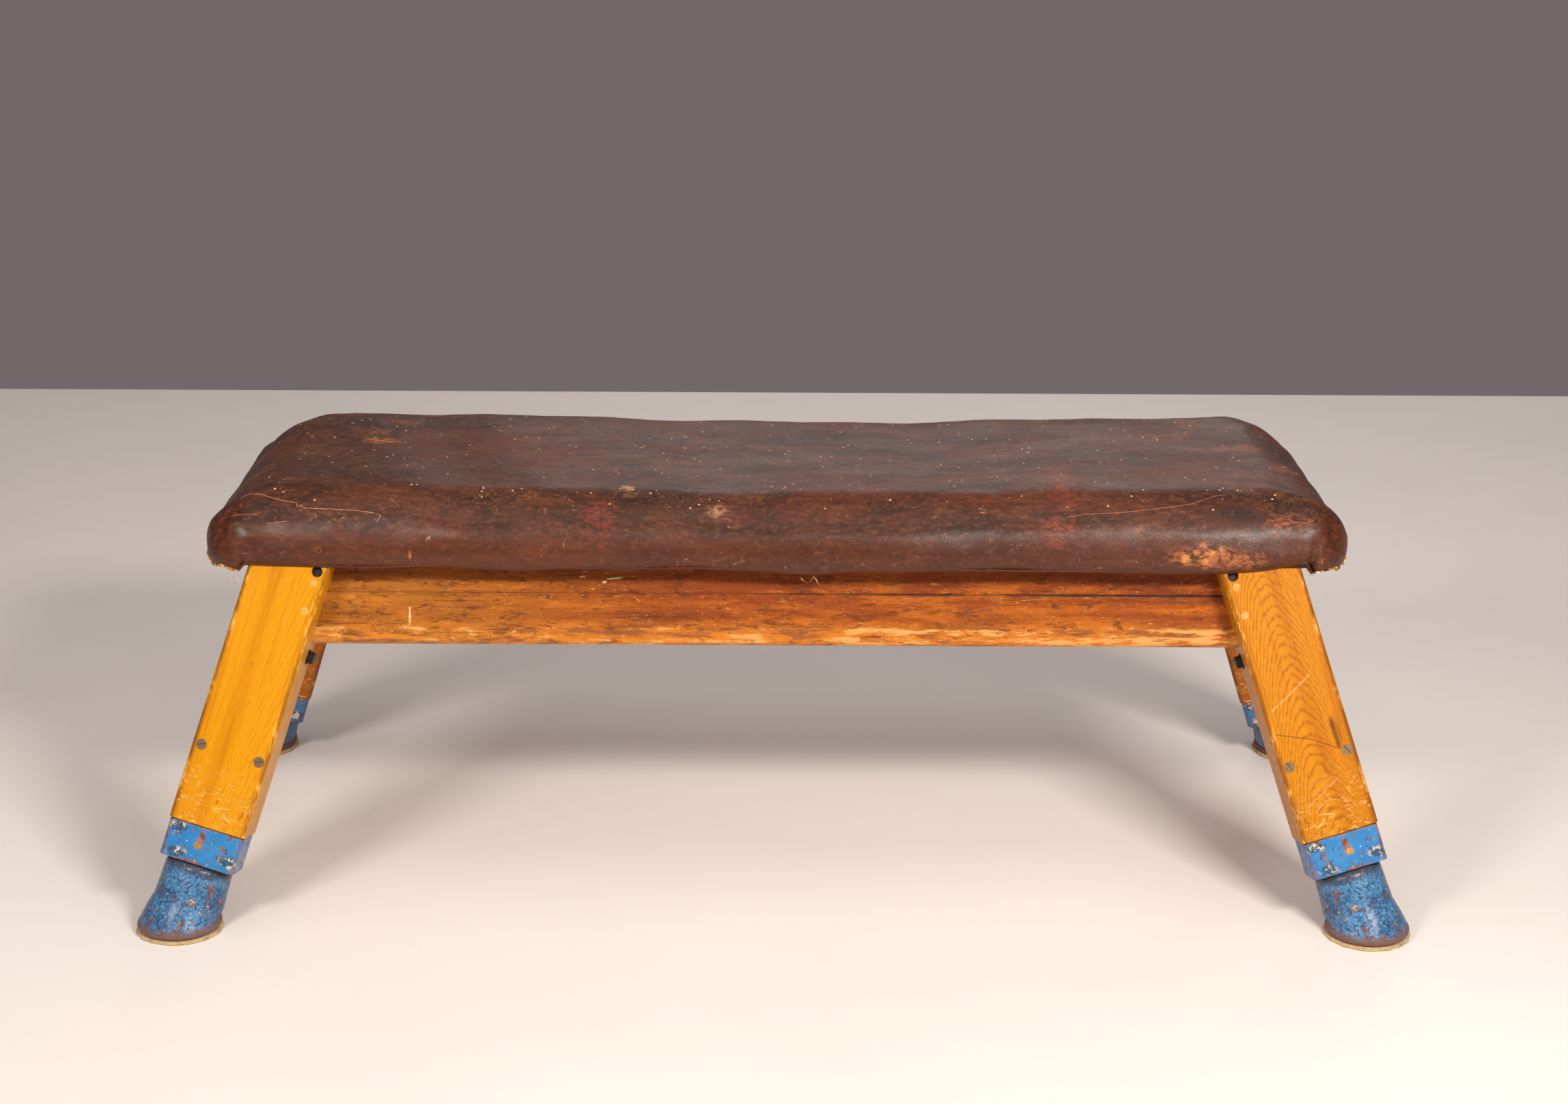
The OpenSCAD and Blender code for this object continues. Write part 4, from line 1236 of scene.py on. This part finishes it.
def dress_metal(brass_look, steel_look):
    black = metal("black_steel", srgb(52, 48, 46), srgb(20, 16, 15), 0.4, 0.7)
    tacks = metal("tack_steel", srgb(120, 112, 100), srgb(62, 48, 38), 0.42)
    screws = metal("screw_steel", srgb(138, 116, 90), srgb(96, 74, 54), 0.36, 0.8, 700)
    for node, look in (
        ("sleeve_screws", screws), ("collar_screws", brass_look), ("rail_dowels", dowel_wood()),
        ("leg_bolts", black), ("leg_washers", steel_look), ("leg_nuts", steel_look),
        ("clamp_bushes", black), ("deck_screws", steel_look), ("upholstery_tacks", tacks),
    ):
        dress(node, look)
    for corner in CORNERS:
        dress("clamp_bolt_" + corner, black, 0.0003)
    return tacks, black


def paint_drips():
    """Old drips of pale paint at the top of the front rail."""
    look = Look("pale_paint", Specular_IOR_Level=0.5, Coat_Weight=0.2)
    tone = look.noise(look.coords(), 300, 3, 0.6)
    look.base(look.step(tone, 0.35, 0.7), srgb(222, 196, 128), srgb(160, 134, 70))
    look.finish(look.between(tone, 0.3, 0.5), look.bump(tone, 0.0006, 0.5))
    rail = frame["nodes"]["front_rail"]
    batten = frame["nodes"]["front_batten"]
    graph = bpy.context.evaluated_depsgraph_get()
    trees = [BVHTree.FromObject(o, graph) for o in (rail, batten)]
    drips = []
    for x, z, length, height, lean in (
        (-0.239, 0.4415, 0.020, 0.0032, -0.3), (-0.226, 0.4400, 0.010, 0.0024, -0.2),
        (-0.204, 0.4390, 0.010, 0.0030, 0.5), (-0.246, 0.4290, 0.008, 0.0028, 0.1),
        (-0.205, 0.4270, 0.024, 0.0034, 0.1), (-0.218, 0.4220, 0.006, 0.0040, 0.0),
        (-0.262, 0.4450, 0.012, 0.0018, -0.2), (-0.4665, 0.3810, 0.0034, 0.024, 0.0),
    ):
        hits = [t.ray_cast(Vector((x, -0.6, z)), Vector((0, 1, 0))) for t in trees]
        hits = [h for h in hits if h[0] is not None]
        if not hits:
            continue
        spot, normal, _, _ = min(hits, key=lambda h: h[3])
        if normal.y > 0:
            normal = -normal
        across = Vector((1, 0, lean)).normalized()
        across = (across - normal * across.dot(normal)).normalized()
        upward = normal.cross(across)
        rings = []
        for level in range(5):
            a = math.radians(90 * level / 4)
            size, rise = math.cos(a) + 0.02, 0.0011 * math.sin(a)
            ring = []
            for i in range(28):
                b = 2 * math.pi * i / 28
                ragged = 1 + 0.35 * noise.noise(Vector((x * 90 + math.cos(b) * 1.6,
                                                        z * 90 + math.sin(b) * 1.6, 0)))
                ring.append(
                    spot - normal * 0.0002 + normal * rise
                    + across * (length / 2 * size * ragged * math.cos(b))
                    + upward * (height / 2 * size * ragged * math.sin(b))
                )
            rings.append(ring)
        drips.append(rings_piece("drip", rings, look.material))
    place(join("paint_drips", drips), "frame", "rail_wood")


# ---------------------------------------------------------------- room and camera


def room_look(name, colour, roughness):
    look = Look(name)
    tone = look.noise(look.coords(), 1.4, 4, 0.6)
    look.base(look.step(tone, 0.3, 0.8), colour, tuple(c * 0.95 for c in colour[:3]) + (1.0,))
    return look.finish(roughness)


def make_stage():
    """A pale floor that ends some way behind the horse; the world's grey shows past it."""
    back = 2.28
    floor = mesh_piece("floor", [(-8, -7, 0), (8, -7, 0), (8, back, 0), (-8, back, 0)],
                       [(0, 1, 2, 3)], room_look("floor_paint", srgb(241, 235, 229), 0.5),
                       False)


def soft_light(name, place_at, target, size, energy, colour):
    data = bpy.data.lights.new(name, "AREA")
    data.shape = "RECTANGLE"
    data.size, data.size_y = size
    data.energy = energy
    data.color = colour
    lamp = bpy.data.objects.new(name, data)
    lamp.location = place_at
    lamp.rotation_mode = "QUATERNION"
    lamp.rotation_quaternion = (Vector(target) - Vector(place_at)).to_track_quat("-Z", "Y")
    bpy.context.scene.collection.objects.link(lamp)


def make_lights():
    """Two lamps high in front, to the right and left, and weak soft ones elsewhere."""
    warm = (1, 0.94, 0.87)
    soft_light("key_right", (1.45, -2.75, 2.3), (0.1, -0.1, 0.3), (0.9, 0.4), 112, warm)
    soft_light("key_left", (-1.8, -2.7, 2.3), (-0.1, -0.1, 0.3), (0.8, 0.5), 60, warm)
    soft_light("low_right", (1.7, -3.6, 1.35), (0.3, 0, 0.5), (0.5, 0.35), 6, (1, 0.95, 0.9))
    soft_light("overhead", (0, -0.5, 3.4), (0, 0.2, 0), (3.4, 2.0), 28, (1, 0.97, 0.94))
    soft_light("behind", (0.6, 3.6, 2.4), (0, 0, 0.3), (2.6, 1.2), 24, (1, 0.97, 0.94))
    world = bpy.data.worlds.new("room_light")
    world.use_nodes = True
    background = world.node_tree.nodes["Background"]
    background.inputs["Color"].default_value = srgb(114, 104, 105)
    background.inputs["Strength"].default_value = 1.0
    bpy.context.scene.world = world
    bpy.context.scene.view_settings.view_transform = "Standard"


def make_camera():
    """Standing in front and a little above, as the object was seen."""
    place_at = Vector((0.0113, -3.849, 1.682))
    pitch, roll = 0.3202, 0.0048
    look_along = Vector((0, math.cos(pitch), -math.sin(pitch)))
    level = Vector((1, 0, 0))
    up = level.cross(look_along)
    right = level * math.cos(roll) + up * math.sin(roll)
    up = right.cross(look_along)
    data = bpy.data.cameras.new("camera")
    data.lens = 69.8
    data.sensor_width = 36
    camera = bpy.data.objects.new("camera", data)
    axes = Matrix((right, up, -look_along)).transposed().to_4x4()
    camera.matrix_world = Matrix.Translation(place_at) @ axes
    bpy.context.scene.collection.objects.link(camera)
    bpy.context.scene.camera = camera


# ---------------------------------------------------------------- the whole object


def build():
    hide = leather()
    backing = metal("zinc_steel", srgb(168, 166, 160), srgb(110, 104, 96), 0.38)
    brass = metal("brass", srgb(226, 178, 92), srgb(150, 108, 48), 0.3, 0.9, 700)
    dress_legs(backing)
    dress_deck()
    tacks, black = dress_metal(brass, backing)
    cushion = make_cushion(hide)
    hem_band(hide)
    edge = raw_edge()
    lobe_edges(cushion, edge)
    scratch_lines(cushion, torn_fibre())
    loose_bits(cushion, edge, tacks, black)
    paint_drips()
    wool = felt()
    for corner in CORNERS:
        make_felt(corner, wool)


build()
make_stage()
make_lights()
make_camera()
